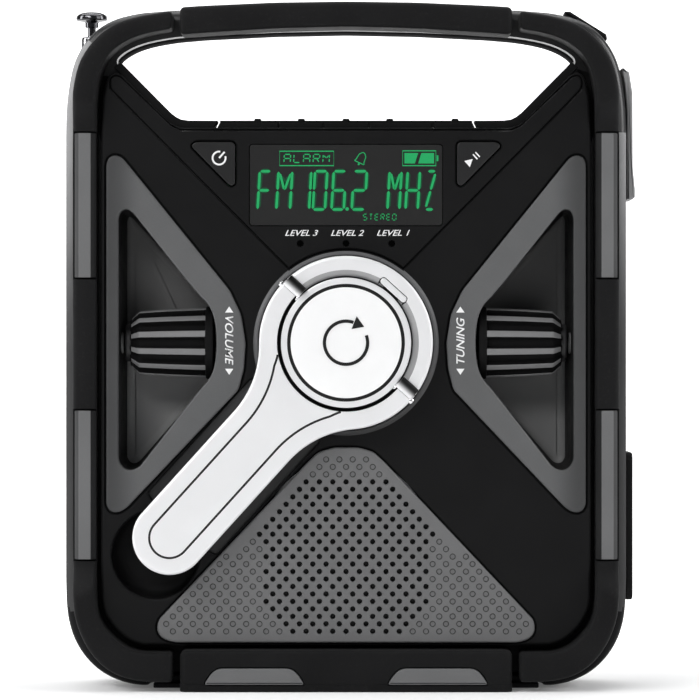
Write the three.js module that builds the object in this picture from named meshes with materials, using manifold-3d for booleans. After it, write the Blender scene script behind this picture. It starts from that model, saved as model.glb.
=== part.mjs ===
// Hand-crank emergency radio with a carry-handle casing, built as an assembly of separate solids.
// Millimetres. +X to the right seen from the front, the front faces -Y, +Z up.
// The origin is on the flat underside, on the casing's centre line.
import * as THREE from "three";
import { mergeVertices } from "three/addons/utils/BufferGeometryUtils.js";
import Module from "manifold-3d";

const wasm = await Module();
wasm.setup();

// ---------------------------------------------------------------- driving dimensions
const HUB_Z = 96.7; // height of the crank axis
const FACE_Y = -20; // front face of the casing
const FACE_IN_Y = -16; // inner side of the front wall
const FLANGE_Y = -10; // front of the wide flange behind the bumpers
const SPLIT_Y = -4; // parting plane of the two casing shells
const HANDLE_BACK_Y = 16; // rear of the handle and its posts
const BACK_Y = 26; // rear of the body
const SIDE_BUMPER_Y = -20.9; // front of the side bumpers, behind the crank's sweep
const CORNER_BUMPER_Y = -26; // front of the corner bumpers and the handle grip
const GAP = 0.3; // running and assembly gap

const ARM_ANGLE = (227.85 * Math.PI) / 180; // direction of the stowed crank arm
const ARM_REACH = 72.6; // hub centre to the centre of the arm's round end
const ARM_R = 10.25; // radius of the arm's round end, half the arm's width
const ARM_FRONT_Y = -29.8;
const ARM_BACK_Y = -21.2;
const RING_R = 24; // outer radius of the crank's ring
const RING_IN = 18.6; // inner radius of the ring
const COLLAR_R = 18.1; // collar round the cap
const FILLET_R = 27; // fillet from the ring into the arm
const HINGE_U = -2; // the fold hinge lies 2 mm behind the hub centre, seen from the arm
const HINGE_Y = -29.95;
const BARREL_R = 1.9;
const PEG_U = 74; // pivot of the folding peg
const PEG_Y = -24.9;
const PEG_LEN = 27;

const KNOB_Y = -10; // depth of the two knob axes
const KNOB_BASE_R = 10.15;
const KNOB_RIB_R = 9.95; // at the collar
const KNOB_END_R = 9.0; // at the outer end of the ribs
const KNOB_TIP_R = 6.4;

const MODULE = 1.0; // gear module
const DRIVE_T = 36;
const IDLER_PINION_T = 12;
const IDLER_WHEEL_T = 32;
const GEN_PINION_T = 10;
const IDLER = [-14, HUB_Z - Math.sqrt(24 * 24 - 14 * 14)];
const GEN = [4, IDLER[1] - Math.sqrt(21 * 21 - 18 * 18)];

const SPEAKER_Z = 41.3;
const SPEAKER_R = 23.5;

const ANT_X = -74.2; // axis of the stowed antenna
const ANT_Y = 21.4;
const ANT_PIVOT_Z = 52;

// ---------------------------------------------------------------- outlines, right half, [x, z] from the bottom centre upwards
const CASE = [
  [54.8, 1.5], [55.6, 0.5], [60, 0.9], [64.6, 2.2], [69.4, 4.8], [73.4, 8.8], [76.2, 13.4], [77.8, 18.4], [78.4, 23], [78.6, 30],
  [78.6, 156], [78.4, 163], [77.7, 169], [76.4, 175.2], [73.9, 180.2], [70.2, 184.5], [65, 187.6], [58, 189.2], [48, 190], [30, 190.4], [12, 190.6],
];
const FACE = [
  [57, 12.6], [60.4, 13.9], [63.6, 16.4], [66.2, 19.8], [67.7, 23], [68.1, 26],
  [68.1, 150], [67.7, 165], [66.6, 170], [64.9, 172], [62.8, 171.6], [49, 157.8], [46, 156.5],
];
const OPENING_TOP = [[64.3, 176.2], [62, 178.2], [58.5, 180], [54, 181.3], [48, 182.3], [40, 183], [20, 184], [0, 184.4]];
const OPENING_LOW = [[0, 156.5], [43, 156.5], [46, 157.2], [49.6, 159.6], [64, 174.2]];

const mirror = (half) => [...half, ...half.slice().reverse().map(([x, z]) => [-x, z])].filter(
  (p, i, a) => i === 0 || Math.hypot(p[0] - a[i - 1][0], p[1] - a[i - 1][1]) > 1e-6);
const flip = (pts, s) => pts.map(([x, z]) => [s * x, z]);
const arc = (cx, cz, r, a0, a1, n) =>
  Array.from({ length: n + 1 }, (_, i) => {
    const a = ((a0 + ((a1 - a0) * i) / n) * Math.PI) / 180;
    return [cx + r * Math.cos(a), cz + r * Math.sin(a)];
  });
const disc = (cx, cz, r, n = 32) => arc(cx, cz, r, 0, 360 - 360 / n, n - 1);
const rect = (x0, z0, x1, z1) => [[x0, z0], [x1, z0], [x1, z1], [x0, z1]];
const rounded = (x0, z0, x1, z1, r, n = 3) => [
  ...arc(x1 - r, z0 + r, r, -90, 0, n), ...arc(x1 - r, z1 - r, r, 0, 90, n),
  ...arc(x0 + r, z1 - r, r, 90, 180, n), ...arc(x0 + r, z0 + r, r, 180, 270, n),
];
// moves each corner of a closed polygon outwards by d (inwards when negative)
function offset(pts, d) {
  const n = pts.length;
  let area = 0;
  for (let i = 0; i < n; i++) {
    const [x0, z0] = pts[i], [x1, z1] = pts[(i + 1) % n];
    area += x0 * z1 - x1 * z0;
  }
  const s = area > 0 ? 1 : -1;
  return pts.map((p, i) => {
    const a = pts[(i + n - 1) % n], b = pts[(i + 1) % n];
    const l0 = Math.hypot(p[0] - a[0], p[1] - a[1]), l1 = Math.hypot(b[0] - p[0], b[1] - p[1]);
    const n0 = [(s * (p[1] - a[1])) / l0, (-s * (p[0] - a[0])) / l0];
    const n1 = [(s * (b[1] - p[1])) / l1, (-s * (b[0] - p[0])) / l1];
    const k = d / Math.max(0.35, 1 + n0[0] * n1[0] + n0[1] * n1[1]);
    return [p[0] + (n0[0] + n1[0]) * k, p[1] + (n0[1] + n1[1]) * k];
  });
}

// ---------------------------------------------------------------- solids
function solid(geometry) {
  const g = geometry.index ? geometry.toNonIndexed() : geometry;
  const bare = new THREE.BufferGeometry().setAttribute("position", g.getAttribute("position"));
  const m = mergeVertices(bare, 1e-4);
  return new wasm.Manifold(new wasm.Mesh({
    numProp: 3,
    vertProperties: new Float32Array(m.attributes.position.array),
    triVerts: new Uint32Array(m.index.array),
  }));
}
function geometryOf(m) {
  const mesh = m.getMesh();
  const g = new THREE.BufferGeometry();
  g.setAttribute("position", new THREE.BufferAttribute(new Float32Array(mesh.vertProperties), 3));
  g.setIndex(new THREE.BufferAttribute(new Uint32Array(mesh.triVerts), 1));
  const flat = g.toNonIndexed();
  flat.computeVertexNormals();
  return flat;
}
function shapeOf(pts, holes = []) {
  const s = new THREE.Shape(pts.map(([x, z]) => new THREE.Vector2(x, z)));
  for (const h of holes) s.holes.push(new THREE.Path(h.map(([x, z]) => new THREE.Vector2(x, z))));
  return s;
}
// an outline in X-Z pushed through from y0 (front) to y1 (rear); bevel rounds off both ends
function slab(pts, y0, y1, { bevel = 0, holes = [], segments = 1 } = {}) {
  const g = new THREE.ExtrudeGeometry(shapeOf(pts, holes), {
    depth: y1 - y0 - 2 * bevel, bevelEnabled: bevel > 0, bevelThickness: bevel, bevelSize: bevel,
    bevelOffset: -bevel, bevelSegments: segments, steps: 1,
  });
  g.rotateX(Math.PI / 2);
  g.translate(0, y1 - bevel, 0);
  return solid(g);
}
// a profile in Y-Z pushed through along X
function slabX(pts, x0, x1) {
  const g = new THREE.ExtrudeGeometry(shapeOf(pts), { depth: x1 - x0, bevelEnabled: false, steps: 1 });
  g.rotateX(Math.PI / 2).rotateZ(Math.PI / 2); // shape (a, b) -> (y, z), depth -> x
  g.translate(x0, 0, 0);
  return solid(g);
}
// an outline in X-Y pushed through along Z
function slabZ(pts, z0, z1, bevel = 0) {
  const g = new THREE.ExtrudeGeometry(shapeOf(pts), {
    depth: z1 - z0 - 2 * bevel, bevelEnabled: bevel > 0, bevelThickness: bevel, bevelSize: bevel,
    bevelOffset: -bevel, bevelSegments: 1, steps: 1,
  });
  g.translate(0, 0, z0 + bevel);
  return solid(g);
}
const box = (x0, x1, y0, y1, z0, z1) => {
  const g = new THREE.BoxGeometry(x1 - x0, y1 - y0, z1 - z0);
  g.translate((x0 + x1) / 2, (y0 + y1) / 2, (z0 + z1) / 2);
  return solid(g);
};
// a turned piece: profile [radius, distance along the axis], axis starting at `from` and pointing along `dir`
function turned(profile, from, dir, n = 24) {
  const g = new THREE.LatheGeometry(profile.map(([r, h]) => new THREE.Vector2(r, h)), n);
  const q = new THREE.Quaternion().setFromUnitVectors(new THREE.Vector3(0, 1, 0), new THREE.Vector3(...dir).normalize());
  g.applyQuaternion(q);
  g.translate(...from);
  const m = solid(g);
  return m.volume() < 0 ? solid(flipFaces(g)) : m;
}
function flipFaces(g) {
  const ix = g.index.array;
  for (let i = 0; i < ix.length; i += 3) [ix[i + 1], ix[i + 2]] = [ix[i + 2], ix[i + 1]];
  return g;
}
const rod = (r, from, dir, len, n = 20) => turned([[0, 0], [r, 0], [r, len], [0, len]], from, dir, n);

// ---------------------------------------------------------------- the assembly
const radio = new THREE.Group();
radio.name = "emergency_radio";
const paint = {
  black: [0x1b1b1c, 0.5, 0], rubber: [0x222223, 0.75, 0], grey: [0x5b5c5e, 0.6, 0], dark: [0x2c2d2f, 0.55, 0],
  silver: [0xd6d6d8, 0.3, 0.9], chrome: [0xe6e6e6, 0.12, 1], white: [0xf2f2f2, 0.35, 0], green: [0x1f5a3a, 0.6, 0],
  window: [0x1a211d, 0.1, 0], nylon: [0xe8e4d8, 0.5, 0], steel: [0xa9abad, 0.35, 0.9], brass: [0xb38a45, 0.35, 0.9],
  solar: [0x15203a, 0.2, 0.1], red: [0x802018, 0.4, 0], paper: [0x37342f, 0.9, 0], copper: [0xa4622f, 0.4, 0.8],
};
function piece(name, manifold, finish) {
  const [color, roughness, metalness] = paint[finish];
  const mesh = new THREE.Mesh(geometryOf(manifold), new THREE.MeshStandardMaterial({ color, roughness, metalness }));
  mesh.name = name;
  radio.add(mesh);
  return mesh;
}

// ---------------------------------------------------------------- shared outlines of the face
const opening = [...OPENING_LOW, ...OPENING_TOP, ...OPENING_TOP.slice(0, -1).reverse().map(([x, z]) => [-x, z]),
  ...OPENING_LOW.slice(1).reverse().map(([x, z]) => [-x, z])];
const caseOutline = mirror(CASE);
const faceOutline = mirror(FACE);
const displayOutline = mirror([
  ...arc(0, HUB_Z, 26.2, 90, 52.8, 5), [65.3, 167.4], [65.6, 169.6], [64.6, 170.9], [62.9, 170.6], [48.6, 156.9], [45.8, 155.7],
].filter((p, i) => i > 0 || p[0] > -1));
const bezelOuter = [
  [66.6, 146.4], [65.9, 148.2], [64.2, 148.9], [62.2, 148.2], [32.4, 111.3], [29.2, 104.6], [27.9, 96.7], [28.4, 89.4], [29.9, 83.6],
  [61, 50.8], [63, 49.6], [65.2, 49.6], [66.6, 51.4],
];
const wellOutline = [
  [63.2, 131.6], [62.4, 133.4], [60.8, 133.9], [59.2, 132.8], [39.5, 109.3], [36.7, 107.9], [36.2, 96.7], [36.7, 85.5],
  [39.7, 84.2], [57.4, 62.2], [59.6, 61.2], [61.8, 61.8], [63.2, 64],
];
const grilleOutline = mirror([[47.6, 13.4], [50.9, 14.3], [52.6, 16.6], [52.2, 19.6], [10.9, 63.3], [7.6, 66.4], [3.5, 67.6]]);
const buttonOutline = [[-42.7, 152.1], [-41.4, 152.6], [-31.6, 152.6], [-30.8, 151.8], [-30.8, 140.9], [-31.7, 140.2], [-32.6, 140.6], [-42.9, 151.1]];

// position on the face from distances along (u) and across (v) the stowed crank arm
const U = [Math.cos(ARM_ANGLE), Math.sin(ARM_ANGLE)];
const V = [-U[1], U[0]];
const uv = (u, v) => [u * U[0] + v * V[0], HUB_Z + u * U[1] + v * V[1]];

// ================================================================ casing
{
  let m = slab(faceOutline, FACE_Y, FLANGE_Y + 0.1, { bevel: 0.8 });
  m = m.add(slab(caseOutline, FLANGE_Y, SPLIT_Y - 0.15));
  // inside of the shell
  m = m.subtract(slab(mirror([[57, 15.6], [61, 17.6], [64, 21.4], [65.4, 26.6], [65.4, 149], [62, 152.5]]), FACE_IN_Y, 0));
  m = m.subtract(slab(mirror([[60, 5], [67, 8.5], [72.5, 14.5], [75.5, 21.5], [76.3, 34], [76.3, 146], [70, 152.5]]), FLANGE_Y + 2.5, 0));
  // wells for the two knobs: walls, floors and the boss at the outer wall
  for (const s of [-1, 1]) {
    m = m.add(slab(flip(offset(wellOutline, 1.9), s), FACE_Y + 1.6, 6));
    m = m.subtract(slab(flip(offset(bezelOuter, GAP), s), FACE_Y - 1, FACE_Y + 1.4));
    m = m.subtract(slab(flip(wellOutline, s), FACE_Y - 1, 4));
    m = m.subtract(rod(2.9, [s * 30, KNOB_Y, HUB_Z], [s, 0, 0], 8));
    m = m.add(rod(3.1, [s * 62.3, KNOB_Y, HUB_Z], [s, 0, 0], 2, 16));
  }
  // seat of the crank, with a raised ring round it
  m = m.add(slab(disc(0, HUB_Z, 26.5, 40), FACE_Y + 0.5, -13.5));
  m = m.add(slab(disc(0, HUB_Z, 25.8, 48), FACE_Y - 0.7, FACE_Y + 1));
  m = m.subtract(slab(disc(0, HUB_Z, RING_R + 0.4, 48), FACE_Y - 2, -17.6));
  m = m.subtract(rod(3.35, [0, -18, HUB_Z], [0, 1, 0], 6, 24));
  // channel under the stowed arm and the round finger pocket behind its end
  const channel = [uv(25.5, 12.8), uv(68, 12.8), uv(70, 0), uv(68, -12.8), uv(25.5, -12.8)];
  m = m.add(slab(channel, -17, -14.6));
  m = m.subtract(slab(channel, FACE_Y - 1, -18.2));
  m = m.add(slab(disc(-53, 37.8, 14, 32), -18, -7));
  m = m.subtract(slab(disc(-53, 37.8, 12.2, 32), FACE_Y - 1, -9));
  // seats of the display panel and the grille, and what opens through them
  m = m.subtract(slab(offset(displayOutline, GAP), FACE_Y - 1, FACE_Y + 2));
  m = m.subtract(slab(rounded(-26.9, 129.2, 26.9, 151.9, 1), FACE_Y - 1, FACE_IN_Y + 1));
  for (const s of [-1, 1]) m = m.subtract(slab(flip(offset(buttonOutline, 0.4), s), FACE_Y - 1, -12.6));
  for (const x of [-12.7, 0, 12.7]) m = m.subtract(slab(disc(x, 124.3, 1.3, 8), FACE_Y - 1, -13));
  m = m.subtract(slab(offset(grilleOutline, GAP), FACE_Y - 1, FACE_Y + 2.3));
  m = m.subtract(slab(disc(0, SPEAKER_Z, SPEAKER_R, 32), FACE_Y, FACE_IN_Y + 1));
  // handle opening and the seats of the five top keys
  m = m.subtract(slab(opening, FACE_Y - 2, 0));
  for (const [x0, x1] of TOP_KEYS()) m = m.subtract(box(x0 - GAP, x1 + GAP, -16.3, -5.9, 154, 160));
  piece("front_housing", m, "black");
}
function TOP_KEYS() {
  return [[-36.2, -19.2], [-18.4, -6.7], [-5.9, 5.9], [6.7, 23.6], [24.8, 36.2]];
}
{
  const back = mirror([[54, 1.5], [62, 3], [68, 7], [72.5, 13], [74.6, 20], [75.2, 30], [75.2, 140], [73, 148.5], [67, 154.5], [60, 156.4]]);
  let m = slab(caseOutline, SPLIT_Y + 0.15, HANDLE_BACK_Y, { bevel: 1.6 });
  m = m.add(slab(back, HANDLE_BACK_Y - 3, BACK_Y, { bevel: 2.2 }));
  m = m.subtract(slab(mirror([[60, 5], [67, 8.5], [72.5, 14.5], [75.5, 21.5], [76.3, 34], [76.3, 146], [70, 152.5]]), SPLIT_Y - 2, 13.6));
  m = m.subtract(slab(mirror([[58, 5], [63, 8], [66, 13], [66, 143], [62, 150]]), 13, 23.4));
  m = m.subtract(slab(opening, -8, 30));
  m = m.subtract(box(-40, 40, -8, 30, 156.5, 160));
  // vertical channel for the stowed antenna and the seat of its swivel
  m = m.subtract(box(-90, -67.8, 16.3, 40, 44.5, 200));
  m = m.subtract(rod(2.4, [ANT_X + 1.2, 12, ANT_PIVOT_Z], [0, 1, 0], 8, 16));
  // battery compartment behind its door
  m = m.subtract(slab(rounded(-35.3, 7.7, 35.3, 56.3, 2), 24.0, 30));
  m = m.subtract(slab(rounded(-32, 11, 32, 53, 2), 20, 30));
  // seat of the solar panel and its cable hole
  m = m.subtract(slab(rounded(-46.3, 71.7, 46.3, 140.3, 2.5), 24.6, 30));
  m = m.subtract(slab(disc(0, 106, 3, 12), 20, 30));
  // openings for the sockets and seats of the two side covers
  m = m.subtract(box(70, 90, -1.3, 13.3, 138.2, 150.8));
  m = m.subtract(rod(3.6, [70, 6, 132], [1, 0, 0], 20, 16));
  m = m.subtract(box(70, 90, -0.3, 12.3, 31.7, 58.3));
  // seat of the light key on the upper right shoulder
  m = m.subtract(slab([[61.0, 191], [75.4, 182.3], [71.1, 178.0], [59.7, 185.3]], -1.3, 9.3));
  piece("rear_housing", m, "black");
}
// sole under the casing: the flat face that the radio stands on
piece("base_pad", slabZ([[-54, -9.4], [54, -9.4], [54, 21], [51, 24], [-51, 24], [-54, 21]], 0, 1.2, 0.3), "rubber");

// ================================================================ bumpers
// outer and inner edges of the bumper ring, right half, from the lower notch round to the upper notch
const BUMP_OUT = [
  [48.2, 2.7], [55, 2.8], [60.2, 3.5], [64.5, 5.1], [68.4, 7.9], [71.6, 12], [73.8, 16.4], [75.2, 21], [75.7, 27], [75.9, 40], [76, 150],
  [75.9, 160], [75.6, 167], [74.4, 173], [72.4, 177.2], [69.5, 180.8], [66.8, 183.2], [64, 184.9], [61.2, 186.1], [56, 187.4], [48.2, 188.6],
];
const BUMP_IN = [
  [48.2, 183.6], [54.3, 182.6], [58.4, 181.4], [62, 179.6], [64.9, 177.4], [67, 174.4], [68.6, 170], [69.2, 164], [69.3, 156], [69.3, 40],
  [69.3, 27], [68.8, 21.2], [66.8, 17.4], [63.6, 13.9], [60.4, 11.9], [57, 11], [48.2, 10.9],
];
for (const [s, side] of [[-1, "left"], [1, "right"]]) {
  const ring = flip([...BUMP_OUT, ...BUMP_IN], s);
  let m = slab(ring, CORNER_BUMPER_Y, FLANGE_Y - GAP, { bevel: 1.2 });
  // the straight side lies lower than the corners
  m = m.subtract(slabX([[SIDE_BUMPER_Y, 35], [SIDE_BUMPER_Y, 156.5], [-27, 165.5], [-27, 26]], s > 0 ? 60 : -80, s > 0 ? 80 : -60));
  for (const [z0, z1] of [[114.3, 155.5], [36, 78.4]])
    m = m.subtract(box(Math.min(s * 67, s * 80), Math.max(s * 67, s * 80), -24, -18.6, z0, z1));
  piece(side + "_bumper", m, "rubber");
  for (const [z0, z1, where] of [[114.3, 155.5, "upper"], [36, 78.4, "lower"]]) {
    const pad = slabZ(
      flip([[69.4, -18.9], [69.4, -19.9], [70.7, -21.0], [74.9, -21.0], [76.0, -19.9], [76.0, -18.9]], s), z0 + GAP, z1 - GAP);
    piece(side + "_" + where + "_insert", pad, "grey");
  }
}
{
  const top = [[46, 189.6], [40, 190], [20, 190.9], [0, 191.2]];
  const low = [[46, 182.0], [40, 182.4], [20, 183.7], [0, 184.2]];
  const grip = [...top, ...top.slice(0, -1).reverse().map(([x, z]) => [-x, z]), ...low.slice(0, -1).map(([x, z]) => [-x, z]), ...low.slice().reverse()];
  piece("handle_grip", slab(grip, CORNER_BUMPER_Y - 0.2, FLANGE_Y - GAP, { bevel: 1.4 }), "rubber");
}
{
  const seg = [[-46, 0], [46, 0], [46, 11.6], [-46, 11.6]];
  let m = slab(seg, CORNER_BUMPER_Y, FLANGE_Y - GAP, { bevel: 0.9 });
  for (const s of [-1, 1]) m = m.subtract(slab(flip([[39.6, 1.9], [11.3, 1.9], [15.4, 7.1], [35.7, 7.1]], s), -28, -22.6));
  piece("bottom_bumper", m, "rubber");
  for (const [s, side] of [[-1, "left"], [1, "right"]])
    piece(side + "_foot_insert", slab(flip([[39.1, 2.2], [11.8, 2.2], [15.6, 6.8], [35.5, 6.8]], s), CORNER_BUMPER_Y - 0.5, -22.9, { bevel: 0.4 }), "grey");
}

// ================================================================ display, buttons and keys
{
  let m = slab(displayOutline, FACE_Y - 0.2, FACE_Y + 1.7, { bevel: 0.3 });
  m = m.subtract(slab(rounded(-26.9, 129.2, 26.9, 151.9, 1), -30, 0));
  for (const s of [-1, 1]) m = m.subtract(slab(flip(offset(buttonOutline, 0.4), s), -30, 0));
  for (const x of [-12.7, 0, 12.7]) m = m.subtract(slab(disc(x, 124.3, 1.15, 8), -30, 0));
  piece("display_panel", m, "black");
  piece("display_window", slab(rounded(-26.6, 129.5, 26.6, 151.6, 0.8), FACE_Y - 0.1, FACE_Y + 1.3), "window");
  piece("lcd_module", slab(rounded(-26.4, 129.7, 26.4, 151.4, 0.6, 1), FACE_Y + 1.7, -12.6), "green");
  piece("main_board", box(-33.5, 33.5, -10.6, -9, 121, 152), "green");
  // one clear moulding carries the three round indicator lights
  let pipe = box(-15, 15, -14.4, -12.6, 122.6, 126);
  pipe = pipe.subtract(slab(disc(0, HUB_Z, 26.9, 40), -20, -10));
  for (const x of [-12.7, 0, 12.7]) pipe = pipe.add(slab(disc(x, 124.3, 0.85, 8), FACE_Y - 0.25, -13));
  piece("indicator_light_pipe", pipe, "nylon");
  for (const [s, name] of [[-1, "play_button"], [1, "power_button"]])
    piece(name, slab(flip(buttonOutline, s), FACE_Y - 0.7, -14.5, { bevel: 0.35 }), "dark");
  const names = ["band_key", "alert_key", "memory_key", "clock_key", "beacon_key"];
  TOP_KEYS().forEach(([x0, x1], i) => {
    const r = rounded(x0, -16, x1, -6.2, 1, 2);
    let key = slabZ(r, 155.1, 158.1, 0.35);
    const xc = [-24.7, -12.5, 0, 12.2, 30.5][i];
    key = key.add(box(xc - 0.9, xc + 0.9, -12, -10, 158, 158.45));
    piece(names[i], key, "rubber");
  });
  // lamp key along the upper right shoulder
  piece("lamp_key", slab([[61.7, 190.2], [63.2, 190.2], [73.4, 183.8], [73.7, 182.4], [71.3, 179.5], [60.9, 186.1]], -1, 9, { bevel: 0.4 }), "rubber");
}

// ================================================================ speaker
{
  let m = slab(grilleOutline, FACE_Y - 0.6, FACE_Y + 2, { bevel: 0.4 });
  const pitch = 7.4;
  for (let r = 0; r < 5; r++) {
    const z = SPEAKER_Z + (r - 2) * pitch * 0.866;
    const n = 5 - Math.abs(r - 2);
    for (let c = 0; c < n; c++) m = m.subtract(slab(disc((c - (n - 1) / 2) * pitch, z, 1.4, 6), -30, -10));
  }
  piece("speaker_grille", m, "grey");
  const basket = turned([[12.3, 3.2], [13.4, 3.2], [21.6, 0], [25.4, 0], [25.4, 1.6], [21.9, 1.6], [13.8, 5.4], [13.8, 13.6], [12.3, 13.6], [12.3, 3.2]],
    [0, -14.2, SPEAKER_Z], [0, 1, 0], 24);
  // back plate and pole piece inside the voice coil
  piece("speaker_basket", basket.add(slab(disc(0, SPEAKER_Z, 12.9, 24), -1.2, 0.4)).add(slab(disc(0, SPEAKER_Z, 8.9, 20), -5.4, -1.1)), "steel");
  piece("speaker_cone", turned([[0, 3.0], [4, 3.0], [6, 4.6], [10.6, 2.3], [20.6, -1.3], [21.1, -0.9], [10.9, 3.0], [10.9, 9], [9.9, 9], [9.9, 4.2], [6, 6], [0, 5.2]],
    [0, -14.15, SPEAKER_Z], [0, 1, 0], 24), "paper");
}

// ================================================================ knobs in their wells
const KNOBS = { volume: -1, tuning: 1 };
for (const [name, s] of Object.entries(KNOBS)) {
  let m = slab(flip(bezelOuter, s), FACE_Y - 0.7, FACE_Y + 1.1, { bevel: 0.5 });
  m = m.subtract(slab(flip(offset(wellOutline, -0.05), s), -30, 0));
  piece(name + "_bezel", m, "grey");
  // fluted knob, widest at its collar; its spindle reaches the control behind the inner wall
  const n = 12;
  const flutes = [];
  for (let i = 0; i < n; i++) {
    const a = (i * 360) / n;
    for (const [da, k] of [[-7, 1], [7, 1], [11, 0.84], [19, 0.84]]) {
      const t = ((a + 15 + da) * Math.PI) / 180;
      flutes.push([Math.cos(t) * k, Math.sin(t) * k]);
    }
  }
  const body = new THREE.ExtrudeGeometry(shapeOf(flutes), { depth: 2, bevelEnabled: false, steps: 2 });
  const p = body.getAttribute("position");
  for (let i = 0; i < p.count; i++) {
    const step = Math.round(p.getZ(i));
    const r = [KNOB_RIB_R, KNOB_END_R, KNOB_TIP_R][step];
    const x = [39.2, 57.8, 60.3][step];
    p.setXYZ(i, s * x, KNOB_Y + r * p.getX(i), HUB_Z + r * p.getY(i));
  }
  let k = solid(s > 0 ? body : body);
  if (k.volume() < 0) {
    const g = body.index ? body : mergeVertices(new THREE.BufferGeometry().setAttribute("position", p), 1e-4);
    k = solid(flipFaces(g));
  }
  k = k.add(rod(KNOB_BASE_R, [s * 36.9, KNOB_Y, HUB_Z], [s, 0, 0], 2.4, 32));
  k = k.add(rod(5.2, [s * 59.5, KNOB_Y, HUB_Z], [s, 0, 0], 2.2, 20));
  k = k.add(rod(2.5, [s * 31.2, KNOB_Y, HUB_Z], [s, 0, 0], 7, 16));
  piece(name + "_knob", k, "dark");
}
piece("volume_potentiometer", box(-33.6, -28.6, -15.6, -4.4, 91, 102.4).subtract(rod(2.8, [-35, KNOB_Y, HUB_Z], [1, 0, 0], 4.4, 16)), "steel");
piece("tuning_encoder", box(28.6, 33.6, -15.6, -4.4, 91, 102.4).subtract(rod(2.8, [35, KNOB_Y, HUB_Z], [-1, 0, 0], 4.4, 16)), "steel");

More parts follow.
